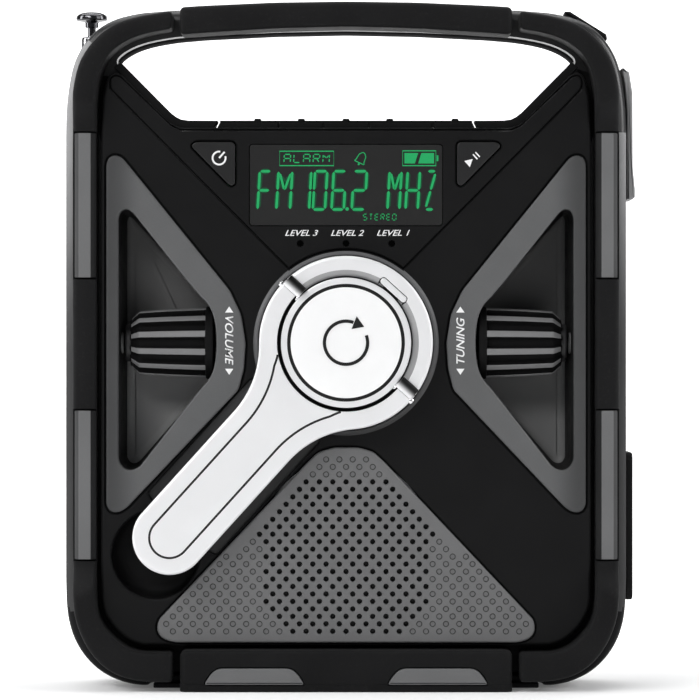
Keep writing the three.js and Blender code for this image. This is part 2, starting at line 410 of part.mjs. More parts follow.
// ================================================================ crank
{
  // part of the plane ahead of (u greater than) or behind a line across the arm
  const half = (u0, u1) => [uv(u0, -40), uv(u1, -40), uv(u1, 40), uv(u0, 40)];
  const grooves = (r) => {
    let g = rod(r, [uv(HINGE_U, 16.4)[0], HINGE_Y, uv(HINGE_U, 16.4)[1]], [V[0], 0, V[1]], 9, 20);
    return g.add(rod(r, [uv(HINGE_U, -16.4)[0], HINGE_Y, uv(HINGE_U, -16.4)[1]], [-V[0], 0, -V[1]], 9, 20));
  };
  // rotor: base plate, boss under the cap, the fixed half of the ring, and the drive shaft
  let m = slab(disc(0, HUB_Z, RING_R - 0.2, 48), -20.9, -18.2);
  const ring = slab(disc(0, HUB_Z, RING_R, 48), ARM_FRONT_Y, -20.5, { bevel: 0.7 }).intersect(slab(half(-40, HINGE_U - 0.15), -40, -10));
  m = m.add(ring.subtract(slab(disc(0, HUB_Z, COLLAR_R + 0.3, 40), -40, -10)));
  m = m.add(slab(disc(0, HUB_Z, COLLAR_R, 40), -29.4, -20));
  m = m.subtract(slab(disc(0, HUB_Z, 16.05, 40), -40, -28.6));
  m = m.subtract(grooves(BARREL_R + 0.3));
  m = m.subtract(slab([uv(-20.7, -4.7), uv(-18.7, -4.7), uv(-18.7, 4.7), uv(-20.7, 4.7)], -40, ARM_FRONT_Y + 1.2));
  m = m.add(rod(3, [0, -18.5, HUB_Z], [0, 1, 0], 20.4, 24));
  m = m.add(slab(rect(-2.0, HUB_Z - 2.0, 2.0, HUB_Z + 2.0), 1.5, 5.6));
  piece("crank_rotor", m, "silver");
  piece("arm_rest_pad", slab([uv(-20.4, -4.4), uv(-19.0, -4.4), uv(-19.0, 4.4), uv(-20.4, 4.4)], ARM_FRONT_Y + 0.1, ARM_FRONT_Y + 0.9), "rubber");
  piece("crank_cap", turned([[0, 0], [15.4, 0], [15.7, 0.4], [15.7, 1.0], [15.2, 1.4], [0, 1.7]], [0, -28.8, HUB_Z], [0, -1, 0], 48), "white");
  for (const [s, where] of [[1, "lower"], [-1, "upper"]]) {
    const a = uv(HINGE_U, s * 17.2);
    piece(where + "_hinge_barrel", turned([[0, 0], [BARREL_R - 0.3, 0], [BARREL_R, 0.3], [BARREL_R, 6.3], [BARREL_R - 0.3, 6.6], [0, 6.6]],
      [a[0], HINGE_Y, a[1]], [s * V[0], 0, s * V[1]], 20), "chrome");
  }
  // arm: half ring, flared neck and straight bar with a round end, hollowed at the back for the peg
  const fc = [Math.sqrt((RING_R + FILLET_R) ** 2 - (ARM_R + FILLET_R) ** 2), ARM_R + FILLET_R];
  const fa = (Math.atan2(fc[1], fc[0]) * 180) / Math.PI;
  const side = [];
  for (const [u, v] of arc(0, 0, RING_R, 96, fa, 8)) side.push([u, v]);
  for (const [u, v] of arc(fc[0], fc[1], FILLET_R, 180 + fa, 270, 6).slice(1)) side.push([u, v]);
  for (const [u, v] of arc(ARM_REACH, 0, ARM_R, 90, 0, 8)) side.push([u, v]);
  const outline = [...side, ...side.slice(0, -1).reverse().map(([u, v]) => [u, -v])].map(([u, v]) => uv(u, v));
  let a = slab(outline, ARM_FRONT_Y, ARM_BACK_Y, { bevel: 0.8 });
  a = a.subtract(slab(disc(0, HUB_Z, RING_IN, 40), -40, 0));
  a = a.subtract(slab(half(-40, HINGE_U + 0.15), -40, 0));
  a = a.subtract(grooves(BARREL_R + 0.3));
  a = a.subtract(slab([uv(43.5, -4.4), uv(77.6, -4.4), uv(77.6, 4.4), uv(43.5, 4.4)], -28.6, 0));
  const pv = uv(PEG_U, -6.2);
  a = a.subtract(rod(1.5, [pv[0], PEG_Y, pv[1]], [V[0], 0, V[1]], 12.4, 12));
  piece("crank_arm", a, "silver");
  // folding peg with its pivot, and the sleeve that turns on it
  const p0 = uv(PEG_U, -5.8), p1 = uv(PEG_U, -3.9), dir = [-U[0], 0, -U[1]];
  let peg = rod(1.15, [p0[0], PEG_Y, p0[1]], [V[0], 0, V[1]], 11.6, 12);
  peg = peg.add(rod(3.2, [p1[0], PEG_Y, p1[1]], [V[0], 0, V[1]], 7.8, 20));
  const at = (d) => { const q = uv(PEG_U - d, 0); return [q[0], PEG_Y, q[1]]; };
  peg = peg.add(rod(1.5, at(1), dir, PEG_LEN - 1, 12));
  peg = peg.add(rod(2.6, at(PEG_LEN - 1), dir, 1, 16));
  piece("crank_peg", peg, "steel");
  piece("crank_grip", turned([[1.8, 0], [2.7, 0], [3.2, 0.7], [3.0, 10], [3.25, 20.2], [2.8, 21.2], [1.8, 21.2], [1.8, 0]], at(4.4), dir, 20), "black");
}

// ================================================================ gear train and generator
// teeth with straight flanks, slimmer than half the pitch so that the pairs run free
function gear(teeth, cx, cz, y0, y1, phase, boreR) {
  const rp = (MODULE * teeth) / 2, ra = rp + 0.75 * MODULE, rf = rp - 1.15 * MODULE;
  const pts = [];
  for (let i = 0; i < teeth; i++) {
    const a = phase + (i * 2 * Math.PI) / teeth, p = (2 * Math.PI) / teeth;
    for (const [da, r] of [[-0.25 * p, rf], [-0.105 * p, ra], [0.105 * p, ra], [0.25 * p, rf]])
      pts.push([cx + r * Math.cos(a + da), cz + r * Math.sin(a + da)]);
  }
  let g = slab(pts, y0, y1);
  if (boreR) g = g.subtract(slab(disc(cx, cz, boreR, 20), y0 - 1, y1 + 1));
  return g;
}
{
  const toIdler = Math.atan2(IDLER[1] - HUB_Z, IDLER[0]);
  const toGen = Math.atan2(GEN[1] - IDLER[1], GEN[0] - IDLER[0]);
  const wheel = gear(DRIVE_T, 0, HUB_Z, 2.2, 5.2, toIdler, 0);
  piece("drive_gear", wheel.subtract(slab(rect(-2.25, HUB_Z - 2.25, 2.25, HUB_Z + 2.25), 0, 8)), "nylon");
  // the idler's pinion has a gap facing the drive gear's tooth, its wheel a tooth facing the generator
  let idler = gear(IDLER_PINION_T, IDLER[0], IDLER[1], 2.0, 5.6, toIdler + Math.PI + Math.PI / IDLER_PINION_T, 0);
  idler = idler.add(gear(IDLER_WHEEL_T, IDLER[0], IDLER[1], 5.5, 8, toGen, 0));
  idler = idler.subtract(slab(disc(IDLER[0], IDLER[1], 1.8, 12), -5, 12));
  piece("idler_gear", idler, "nylon");
  let gen = gear(GEN_PINION_T, GEN[0], GEN[1], 5.3, 8.4, toGen + Math.PI + Math.PI / GEN_PINION_T, 0);
  gen = gen.add(slab(disc(GEN[0], GEN[1], 1.5, 12), 8, 20));
  piece("generator_pinion", gen, "brass");
  let body = slab(disc(GEN[0], GEN[1], 11.5, 32), 9.2, 22.4);
  body = body.subtract(slab(disc(GEN[0], GEN[1], 1.8, 12), 8, 20.6));
  piece("generator", body, "steel");
  // plate that carries the idler's post, standing on the generator side
  let plate = slab([[-24, 62.5], [-4, 58], [-4, 81], [-17, 90], [-24, 84]], 9.2, 10.6);
  plate = plate.subtract(slab(disc(GEN[0], GEN[1], 11.9, 32), 8, 12));
  plate = plate.add(slab(disc(IDLER[0], IDLER[1], 1.5, 12), 1.6, 9.6));
  piece("gear_plate", plate, "steel");
}

// ================================================================ power
piece("battery_pack", slab(rounded(-31.4, 11.6, 31.4, 52.4, 6, 3), 5, 23.2), "dark");
{
  let door = slab(rounded(-35, 8, 35, 56, 2), 24.3, BACK_Y + 0.2, { bevel: 0.4 });
  door = door.subtract(slab(rounded(-9, 51.2, 9, 54.2, 1.2, 2), 25.4, 30));
  door = door.add(box(-30, 30, 23.5, 24.6, 51, 52.6));
  piece("battery_door", door, "black");
  piece("solar_panel", slab(rounded(-46, 72, 46, 140, 2.5), 24.9, BACK_Y + 0.3, { bevel: 0.3 }), "solar");
}
// ================================================================ sockets and their covers, right side
{
  let usb = box(66, 77.6, -0.9, 12.9, 138.6, 150.4);
  usb = usb.subtract(box(69, 80, 0.1, 11.9, 144.6, 149.4)).subtract(box(70, 80, 2, 10, 140, 142.6));
  piece("usb_sockets", usb, "steel");
  let jack = rod(3.2, [66, 6, 132], [1, 0, 0], 11.6, 16);
  jack = jack.subtract(rod(1.75, [69, 6, 132], [1, 0, 0], 12, 12));
  piece("headphone_socket", jack, "black");
  let charge = box(66, 77.6, 0.1, 11.9, 32.1, 57.9);
  charge = charge.subtract(rod(2.75, [69, 6, 51], [1, 0, 0], 12, 16)).subtract(box(71, 80, 1.8, 10.2, 37, 40.2));
  piece("charging_socket", charge, "black");
  // upper cover: hinged along its top edge, with a pull tab at the bottom
  let up = slab([[78.95, 137], [78.95, 162], [78.3, 169.4], [77.5, 174], [79.6, 172.8], [80.5, 167], [80.6, 146], [81.2, 140], [81.2, 137.6], [80.4, 137]], -6, 13.5);
  piece("upper_port_cover", up, "grey");
  // lower cover: hinged along its rear edge
  let low = slab([[78.95, 24.4], [78.95, 65.9], [80.6, 65.9], [80.6, 24.4]], -5, 14, { bevel: 0.3 });
  piece("lower_port_cover", low, "rubber");
}

// ================================================================ antenna, stowed upright behind the left edge
{
  const z0 = ANT_PIVOT_Z;
  let kn = rod(2.1, [ANT_X + 1.2, 12.4, z0], [0, 1, 0], 4.4, 16);
  kn = kn.add(rod(4.2, [ANT_X + 1.2, 16.6, z0], [0, 1, 0], 1.6, 20));
  kn = kn.add(box(ANT_X + 1.2 - 3.9, ANT_X + 1.2 - 2.4, 18, 24.8, z0 - 2.6, z0 + 2.6));
  kn = kn.add(box(ANT_X + 1.2 + 2.4, ANT_X + 1.2 + 3.9, 18, 24.8, z0 - 2.6, z0 + 2.6));
  piece("antenna_swivel", kn, "chrome");
  const X = ANT_X + 1.2, up = [0, 0, 1];
  let t1 = rod(2.0, [X - 2.1, ANT_Y, z0], [1, 0, 0], 4.2, 16).add(turned([[2.3, 0], [3, 0.6], [3, 127.4], [2.3, 127.4], [2.3, 0]], [X, ANT_Y, z0 + 5], up, 16));
  t1 = t1.add(rod(1.9, [X, ANT_Y, z0], up, 5.4, 16)).add(rod(2.8, [X, ANT_Y, z0 + 4.9], up, 2, 16));
  piece("antenna_lower_tube", t1, "chrome");
  let t2 = turned([[1.45, 0], [2.0, 0], [2.0, 123.6], [1.45, 123.6], [1.45, 0]], [X, ANT_Y, z0 + 9], up, 16);
  t2 = t2.add(rod(1.9, [X, ANT_Y, z0 + 8.2], up, 1.4, 16));
  piece("antenna_middle_tube", t2, "chrome");
  let t3 = rod(1.15, [X, ANT_Y, z0 + 10.4], up, 126.4, 12);
  t3 = t3.add(turned([[0, 0], [1.9, 0], [1.9, 1.6], [4.5, 2.2], [4.5, 3.4], [3.6, 4.2], [0, 4.6]], [X, ANT_Y, z0 + 135], up, 24));
  piece("antenna_tip", t3, "chrome");
}

export default radio;
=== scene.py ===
import math

import bmesh
import bpy
from mathutils import Matrix, Vector


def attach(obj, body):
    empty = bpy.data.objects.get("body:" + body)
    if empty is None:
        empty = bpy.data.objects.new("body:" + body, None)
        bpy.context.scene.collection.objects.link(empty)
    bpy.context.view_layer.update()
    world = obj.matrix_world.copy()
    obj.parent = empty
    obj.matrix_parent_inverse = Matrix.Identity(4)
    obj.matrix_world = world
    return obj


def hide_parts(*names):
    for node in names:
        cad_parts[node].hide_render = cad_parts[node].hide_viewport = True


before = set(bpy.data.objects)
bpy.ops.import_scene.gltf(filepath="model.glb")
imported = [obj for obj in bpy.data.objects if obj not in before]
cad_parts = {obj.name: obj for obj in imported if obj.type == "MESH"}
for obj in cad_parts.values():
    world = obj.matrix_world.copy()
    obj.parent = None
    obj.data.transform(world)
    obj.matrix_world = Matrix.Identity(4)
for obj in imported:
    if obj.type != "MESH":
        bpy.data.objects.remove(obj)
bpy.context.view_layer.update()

MM = 0.001

# ---------------------------------------------------------------- driving dimensions, in millimetres
HUB_Z = 96.7
FACE_Y = -20.0
FLANGE_Y = -10.0
SPLIT_Y = -4.0
HANDLE_BACK_Y = 16.0
BACK_Y = 26.0
SIDE_Y = -20.9
CORNER_Y = -26.0
GAP = 0.3
ARM_ANGLE = math.radians(227.85)
ARM_REACH, ARM_R = 72.6, 10.25
ARM_FRONT, ARM_BACK = -29.8, -21.2
RING_R, RING_IN, COLLAR_R = 24.0, 18.6, 18.1
FILLET_R = 27.0
HINGE_U, HINGE_Y = -2.0, -29.95
BARREL_R = 1.75
PEG_U, PEG_Y, PEG_LEN = 74.0, -24.9, 27.0
KNOB_Y = -10.0
SPEAKER_Z = 41.3
ANT_X, ANT_Y, ANT_Z = -73.0, 21.4, 52.0

CASE = [(54.8, 1.5), (55.6, 0.5), (60, 0.9), (64.6, 2.2), (69.4, 4.8), (73.4, 8.8), (76.2, 13.4), (77.8, 18.4), (78.4, 23), (78.6, 30),
        (78.6, 156), (78.4, 163), (77.7, 169), (76.4, 175.2), (73.9, 180.2), (70.2, 184.5), (65, 187.6), (58, 189.2), (48, 190), (30, 190.4), (12, 190.6)]
FACE = [(57, 12.6), (60.4, 13.9), (63.6, 16.4), (66.2, 19.8), (67.7, 23), (68.1, 26),
        (68.1, 150), (67.7, 165), (66.6, 170), (64.9, 172), (62.8, 171.6), (49, 157.8), (46, 156.5)]
OPENING_TOP = [(64.3, 176.2), (62, 178.2), (58.5, 180), (54, 181.3), (48, 182.3), (40, 183), (20, 184), (0, 184.4)]
OPENING_LOW = [(0, 156.5), (43, 156.5), (46, 157.2), (49.6, 159.6), (64, 174.2)]
BUMP_OUT = [(48.2, 2.7), (55, 2.8), (60.2, 3.5), (64.5, 5.1), (68.4, 7.9), (71.6, 12), (73.8, 16.4), (75.2, 21), (75.7, 27), (75.9, 40), (76, 150),
            (75.9, 160), (75.6, 167), (74.4, 173), (72.4, 177.2), (69.5, 180.8), (66.8, 183.2), (64, 184.9), (61.2, 186.1), (56, 187.4), (48.2, 188.6)]
BUMP_IN = [(48.2, 10.9), (57, 11), (60.4, 11.9), (63.6, 13.9), (66.8, 17.4), (68.8, 21.2), (69.3, 27), (69.3, 40), (69.3, 150),
           (69.3, 156), (69.2, 164), (68.6, 170), (67, 174.4), (64.9, 177.4), (62, 179.6), (58.4, 181.4), (54.3, 182.6), (48.2, 183.6)]
TOP_KEYS = [(-36.2, -19.2), (-18.4, -6.7), (-5.9, 5.9), (6.7, 23.6), (24.8, 36.2)]

U = (math.cos(ARM_ANGLE), math.sin(ARM_ANGLE))
V = (-U[1], U[0])


def uv(u, v):
    return (u * U[0] + v * V[0], HUB_Z + u * U[1] + v * V[1])


# ---------------------------------------------------------------- outlines
def lerp(a, b, t):
    return (a[0] + (b[0] - a[0]) * t, a[1] + (b[1] - a[1]) * t)


def mirror(half):
    pts = list(half) + [(-x, z) for x, z in reversed(half)]
    out = []
    for p in pts:
        if not out or math.dist(p, out[-1]) > 1e-6:
            out.append(p)
    if math.dist(out[0], out[-1]) < 1e-6:
        out.pop()
    return out


def flip(pts, s):
    return [(s * x, z) for x, z in pts]


def arc(cx, cz, r, a0, a1, n):
    return [(cx + r * math.cos(math.radians(a0 + (a1 - a0) * i / n)), cz + r * math.sin(math.radians(a0 + (a1 - a0) * i / n))) for i in range(n + 1)]


def disc(cx, cz, r, n=64):
    return arc(cx, cz, r, 0, 360 - 360 / n, n - 1)


def rect(x0, z0, x1, z1):
    return [(x0, z0), (x1, z0), (x1, z1), (x0, z1)]


def rounded(x0, z0, x1, z1, r, n=6):
    return [*arc(x1 - r, z0 + r, r, -90, 0, n), *arc(x1 - r, z1 - r, r, 0, 90, n), *arc(x0 + r, z1 - r, r, 90, 180, n), *arc(x0 + r, z0 + r, r, 180, 270, n)]


def area2(pts):
    return sum(pts[i][0] * pts[(i + 1) % len(pts)][1] - pts[(i + 1) % len(pts)][0] * pts[i][1] for i in range(len(pts)))


def offset(pts, d):
    n = len(pts)
    s = 1 if area2(pts) > 0 else -1
    out = []
    for i, p in enumerate(pts):
        a, b = pts[i - 1], pts[(i + 1) % n]
        l0, l1 = math.dist(a, p) or 1e-9, math.dist(p, b) or 1e-9
        n0 = (s * (p[1] - a[1]) / l0, -s * (p[0] - a[0]) / l0)
        n1 = (s * (b[1] - p[1]) / l1, -s * (b[0] - p[0]) / l1)
        k = d / max(0.35, 1 + n0[0] * n1[0] + n0[1] * n1[1])
        out.append((p[0] + (n0[0] + n1[0]) * k, p[1] + (n0[1] + n1[1]) * k))
    return out


def smooth(pts, reach=4.0, rounds=2, closed=True):
    """Corner-cutting: corners become curves that start at most `reach` from the corner; long edges stay straight."""
    q = []
    n = len(pts)
    for i in range(n if closed else n - 1):
        a, b = pts[i], pts[(i + 1) % n]
        q.append(a)
        length = math.dist(a, b)
        if length > 2.2 * reach:
            q.append(lerp(a, b, reach / length))
            q.append(lerp(a, b, 1 - reach / length))
    if not closed:
        q.append(pts[-1])
    for _ in range(rounds):
        r = [] if closed else [q[0]]
        for i in range(len(q) if closed else len(q) - 1):
            a, b = q[i], q[(i + 1) % len(q)]
            r += [lerp(a, b, 0.25), lerp(a, b, 0.75)]
        if not closed:
            r.append(q[-1])
        q = r
    out = []
    n = len(q)
    for i, p in enumerate(q):
        if not closed and i in (0, n - 1):
            out.append(p)
            continue
        a, b = (out[-1] if out else q[i - 1]), q[(i + 1) % n]
        cross = (p[0] - a[0]) * (b[1] - p[1]) - (p[1] - a[1]) * (b[0] - p[0])
        if abs(cross) > 1e-4 * math.dist(a, p) * math.dist(p, b) + 1e-9:
            out.append(p)
    return out


def resample(pts, count):
    """Points evenly spaced along an open line."""
    lengths = [0.0]
    for a, b in zip(pts, pts[1:]):
        lengths.append(lengths[-1] + math.dist(a, b))
    out, j = [], 0
    for i in range(count):
        t = lengths[-1] * i / (count - 1)
        while j < len(pts) - 2 and lengths[j + 1] < t:
            j += 1
        seg = lengths[j + 1] - lengths[j] or 1e-9
        out.append(lerp(pts[j], pts[j + 1], (t - lengths[j]) / seg))
    return out


# ---------------------------------------------------------------- meshes
# everything is modelled in millimetres and brought to metres by place()
AXES = {
    "xz": lambda a, b, h: (a, h, b),  # outline seen from the front, pushed along Y
    "yz": lambda a, b, h: (h, a, b),  # outline seen from the side, pushed along X
    "xy": lambda a, b, h: (a, b, h),  # outline seen from above, pushed along Z
}


def link(name, mesh):
    o = bpy.data.objects.new(name, mesh)
    bpy.context.scene.collection.objects.link(o)
    return o


def skin(name, rings, cap=True, close=False):
    """A closed solid through rings of 3-D points; every ring has the same number of points."""
    bm = bmesh.new()
    vs = [[bm.verts.new(p) for p in r] for r in rings]
    n = len(rings[0])
    pairs = list(zip(vs, vs[1:])) + ([(vs[-1], vs[0])] if close else [])
    for a, b in pairs:
        for i in range(n):
            bm.faces.new((a[i], a[(i + 1) % n], b[(i + 1) % n], b[i]))
    if cap and not close:
        bm.faces.new(vs[0])
        bm.faces.new(list(reversed(vs[-1])))
    bmesh.ops.recalc_face_normals(bm, faces=bm.faces)
    bmesh.ops.triangulate(bm, faces=[f for f in bm.faces if len(f.verts) > 4], ngon_method="EAR_CLIP")
    me = bpy.data.meshes.new(name)
    bm.to_mesh(me)
    bm.free()
    return link(name, me)


def loft(name, outline, levels, plane="xz"):
    put = AXES[plane]
    # a narrow flat ring inside each rounded end keeps the shading of the flat face even
    if levels[0][0] > 0.04 and levels[0][0] + 0.2 < 4:
        levels = [(levels[0][0] + 0.2, levels[0][1]), *levels]
    if levels[-1][0] > 0.04:
        levels = [*levels, (levels[-1][0] + 0.2, levels[-1][1])]
    return skin(name, [[put(a, b, h) for a, b in (offset(outline, -inset) if inset else outline)] for inset, h in levels])


def rim(y0, y1, r0=0.0, r1=0.0, k=4):
    """Levels of a slab from y0 to y1 whose ends are rounded off by r0 and r1."""
    s = 1 if y1 > y0 else -1
    out = []
    if r0 > 0:
        out += [(r0 * (1 - math.sin(math.pi / 2 * i / k)), y0 + s * r0 * (1 - math.cos(math.pi / 2 * i / k))) for i in range(k + 1)]
    else:
        out.append((0, y0))
    if r1 > 0:
        out += [(r1 * (1 - math.cos(math.pi / 2 * i / k)), y1 - s * r1 * (1 - math.sin(math.pi / 2 * i / k))) for i in range(k + 1)]
    else:
        out.append((0, y1))
    return out


def pocket(y_face, y_floor, lip=0.4, floor_r=0.0, k=3, clear=1.0):
    """Levels of a cutter that goes in at y_face, with a rounded lip, down to y_floor, with a rounded bottom."""
    s = 1 if y_floor > y_face else -1
    out = [(-lip, y_face - s * clear)]
    out += [(-lip * (1 - math.sin(math.pi / 2 * i / k)), y_face + s * lip * (1 - math.cos(math.pi / 2 * i / k))) for i in range(k + 1)]
    if floor_r > 0:
        out += [(floor_r * (1 - math.cos(math.pi / 2 * i / k)), y_floor - s * floor_r * (1 - math.sin(math.pi / 2 * i / k))) for i in range(k + 1)]
    else:
        out.append((0, y_floor))
    return out


def lathe(name, profile, origin, axis, n=64):
    """A turned piece; profile is (radius, distance along the axis), from axis to axis, or a ring when it closes on itself."""
    ax = Vector(axis).normalized()
    side = ax.orthogonal().normalized()
    other = ax.cross(side)
    o = Vector(origin)
    ring = math.dist(profile[0], profile[-1]) < 1e-9
    pts = profile[:-1] if ring else profile
    bm = bmesh.new()
    rows = []
    for r, h in pts:
        c = o + ax * h
        if r < 1e-6:
            rows.append([bm.verts.new(c)])
        else:
            rows.append([bm.verts.new((c + (side * math.cos(2 * math.pi * i / n) + other * math.sin(2 * math.pi * i / n)) * r)) for i in range(n)])
    pairs = list(zip(rows, rows[1:])) + ([(rows[-1], rows[0])] if ring else [])
    for a, b in pairs:
        if len(a) == 1 and len(b) == 1:
            continue
        for i in range(n):
            j = (i + 1) % n
            if len(a) == 1:
                bm.faces.new((a[0], b[j], b[i]))
            elif len(b) == 1:
                bm.faces.new((a[i], a[j], b[0]))
            else:
                bm.faces.new((a[i], a[j], b[j], b[i]))
    bmesh.ops.recalc_face_normals(bm, faces=bm.faces)
    me = bpy.data.meshes.new(name)
    bm.to_mesh(me)
    bm.free()
    return link(name, me)


def rod(name, r, origin, axis, length, n=32, b=0.0):
    if b:
        prof = [(0, 0), (r - b, 0), (r - b * 0.3, b * 0.3), (r, b), (r, length - b), (r - b * 0.3, length - b * 0.3), (r - b, length), (0, length)]
    else:
        prof = [(0, 0), (r, 0), (r, length), (0, length)]
    return lathe(name, prof, origin, axis, n)


def box(name, x0, x1, y0, y1, z0, z1, b=0.0):
    bm = bmesh.new()
    bmesh.ops.create_cube(bm, size=1.0)
    for v in bm.verts:
        v.co = Vector(((x0 + x1) / 2 + v.co.x * (x1 - x0), (y0 + y1) / 2 + v.co.y * (y1 - y0), (z0 + z1) / 2 + v.co.z * (z1 - z0)))
    if b:
        bmesh.ops.bevel(bm, geom=list(bm.edges) + list(bm.verts), offset=b, segments=3, profile=0.5, affect="EDGES")
    me = bpy.data.meshes.new(name)
    bm.to_mesh(me)
    bm.free()
    return link(name, me)


def boolean(o, tools, operation="DIFFERENCE"):
    """Cuts or joins closed solids; the tools are used up."""
    tools = tools if isinstance(tools, (list, tuple)) else [tools]
    for t in tools:
        m = o.modifiers.new("b", "BOOLEAN")
        m.operation = operation
        m.object = t
        m.solver = "MANIFOLD"
    dg = bpy.context.evaluated_depsgraph_get()
    me = bpy.data.meshes.new_from_object(o.evaluated_get(dg))
    o.modifiers.clear()
    old = o.data
    o.data = me
    bpy.data.meshes.remove(old)
    for t in tools:
        d = t.data
        bpy.data.objects.remove(t)
        bpy.data.meshes.remove(d)
    return o


def cut(o, *tools):
    return boolean(o, list(tools))


def add(o, *tools):
    return boolean(o, list(tools), "UNION")


def merge(name, parts):
    """Several closed solids as one object, not fused."""
    bm = bmesh.new()
    for p in parts:
        bm.from_mesh(p.data)
        d = p.data
        bpy.data.objects.remove(p)
        bpy.data.meshes.remove(d)
    me = bpy.data.meshes.new(name)
    bm.to_mesh(me)
    bm.free()
    return link(name, me)


def finish_mesh(o, angle=34):
    me = o.data
    bm = bmesh.new()
    bm.from_mesh(me)
    bmesh.ops.triangulate(bm, faces=[f for f in bm.faces if len(f.verts) > 4], ngon_method="EAR_CLIP")
    bm.to_mesh(me)
    bm.free()
    me.shade_smooth()
    me.set_sharp_from_angle(angle=math.radians(angle))
    for p in me.polygons:
        if abs(p.normal.y) > 0.99995:
            p.use_smooth = False
    w = o.modifiers.new("weighted", "WEIGHTED_NORMAL")
    w.keep_sharp = True
    w.weight = 80


PIECES = {}


def place(o, body, slot, mat, *nodes, angle=34, smooth_it=True):
    if smooth_it:
        finish_mesh(o, angle)
    o.data.transform(Matrix.Scale(MM, 4))
    if mat is not None:
        o.data.materials.clear()
        o.data.materials.append(mat)
    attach(o, body)
    if nodes:
        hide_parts(*nodes)
    PIECES[o.name] = o
    return o


# ---------------------------------------------------------------- materials
def surface(name, color, rough, *, metal=0.0, spec=0.5, grain=0.25, bump=0.2, depth=0.02, mottle=0.12, mottle_size=14.0, rough_var=0.06,
            speck=0.05, coat=0.0, coat_rough=0.1, sheen=0.0, emit=None, emit_strength=0.0, dust=0.0, brushed=None, painted_shading=None, spec_fade=None, aniso=0.0):
    """Moulded, painted or metal surface: fine grain in the relief, slow drift in colour and gloss, faint specks, and on
    request a painted light-and-shade gradient along one direction.
    """
    m = bpy.data.materials.new(name)
    m.use_nodes = True
    nt = m.node_tree
    nd, ln = nt.nodes, nt.links
    b = nd["Principled BSDF"]
    b.inputs["Metallic"].default_value = metal
    b.inputs["Specular IOR Level"].default_value = spec
    b.inputs["Coat Weight"].default_value = coat
    b.inputs["Coat Roughness"].default_value = coat_rough
    b.inputs["Sheen Weight"].default_value = sheen
    b.inputs["Sheen Roughness"].default_value = 0.5
    if aniso:
        b.inputs["Anisotropic"].default_value = aniso
    tc = nd.new("ShaderNodeTexCoord")
    src = tc.outputs["Object"]
    if brushed:
        mp = nd.new("ShaderNodeMapping")
        mp.inputs["Scale"].default_value = brushed
        ln.new(tc.outputs["Object"], mp.inputs["Vector"])
        fine_src = mp.outputs["Vector"]
    else:
        fine_src = src
    fine = nd.new("ShaderNodeTexNoise")
    fine.inputs["Scale"].default_value = 1.0 / (grain * MM)
    fine.inputs["Detail"].default_value = 3.0
    fine.inputs["Roughness"].default_value = 0.6
    ln.new(fine_src, fine.inputs["Vector"])
    slow = nd.new("ShaderNodeTexNoise")
    slow.inputs["Scale"].default_value = 1.0 / (mottle_size * MM)
    slow.inputs["Detail"].default_value = 4.0
    ln.new(src, slow.inputs["Vector"])
    hi = [min(1.0, c * (1 + mottle)) for c in color]
    lo = [c * (1 - mottle) for c in color]
    ramp = nd.new("ShaderNodeValToRGB")
    ramp.color_ramp.elements[0].position = 0.32
    ramp.color_ramp.elements[1].position = 0.68
    ramp.color_ramp.elements[0].color = (*lo, 1)
    ramp.color_ramp.elements[1].color = (*hi, 1)
    ln.new(slow.outputs["Fac"], ramp.inputs["Fac"])
    tint = nd.new("ShaderNodeMix")
    tint.data_type = "RGBA"
    tint.blend_type = "MULTIPLY"
    tint.inputs["Factor"].default_value = 1.0
    sp = nd.new("ShaderNodeMapRange")
    sp.inputs["From Min"].default_value = 0.3
    sp.inputs["From Max"].default_value = 0.7
    sp.inputs["To Min"].default_value = 1.0 - speck
    sp.inputs["To Max"].default_value = 1.0 + speck
    ln.new(fine.outputs["Fac"], sp.inputs["Value"])
    ln.new(ramp.outputs["Color"], tint.inputs["A"])
    ln.new(sp.outputs["Result"], tint.inputs["B"])
    out_color = tint.outputs["Result"]
    if painted_shading:
        # painted light and shade: the tone drifts along one direction of the object, from (place, factor) to (place,
        # factor), in place of how the light falls there
        along, (z0, f0), (z1, f1) = painted_shading
        sx = nd.new("ShaderNodeSeparateXYZ")
        ln.new(src, sx.inputs["Vector"])
        fr = nd.new("ShaderNodeMapRange")
        fr.interpolation_type = "SMOOTHSTEP"
        fr.inputs["From Min"].default_value = z0 * MM
        fr.inputs["From Max"].default_value = z1 * MM
        fr.inputs["To Min"].default_value = f0
        fr.inputs["To Max"].default_value = f1
        if along == "U":
            # along the stowed arm, from the hub centre; with the power step below, this paints the hinge barrels'
            # reflection, dark on the ring side and bright towards the arm
            du = nd.new("ShaderNodeVectorMath")
            du.operation = "DOT_PRODUCT"
            du.inputs[1].default_value = (U[0], 0, U[1])
            ln.new(src, du.inputs[0])
            off = nd.new("ShaderNodeMath")
            off.operation = "SUBTRACT"
            off.inputs[1].default_value = HUB_Z * U[1] * MM
            ln.new(du.outputs["Value"], off.inputs[0])
            ln.new(off.outputs[0], fr.inputs["Value"])
        elif along == "Y":
            ln.new(sx.outputs["Y"], fr.inputs["Value"])
        elif along == "Z":
            ln.new(sx.outputs["Z"], fr.inputs["Value"])
        else:
            ab = nd.new("ShaderNodeMath")
            ab.operation = "ABSOLUTE"
            ln.new(sx.outputs["X"], ab.inputs[0])
            ln.new(ab.outputs[0], fr.inputs["Value"])
        fm = nd.new("ShaderNodeMix")
        fm.data_type = "RGBA"
        fm.blend_type = "MULTIPLY"
        fm.inputs["Factor"].default_value = 1.0
        ln.new(out_color, fm.inputs["A"])
        if along == "U":
            pw = nd.new("ShaderNodeMath")
            pw.operation = "POWER"
            pw.inputs[1].default_value = 3.6
            ln.new(fr.outputs["Result"], pw.inputs[0])
            ln.new(pw.outputs[0], fm.inputs["B"])
        else:
            ln.new(fr.outputs["Result"], fm.inputs["B"])
        out_color = fm.outputs["Result"]
    if dust:
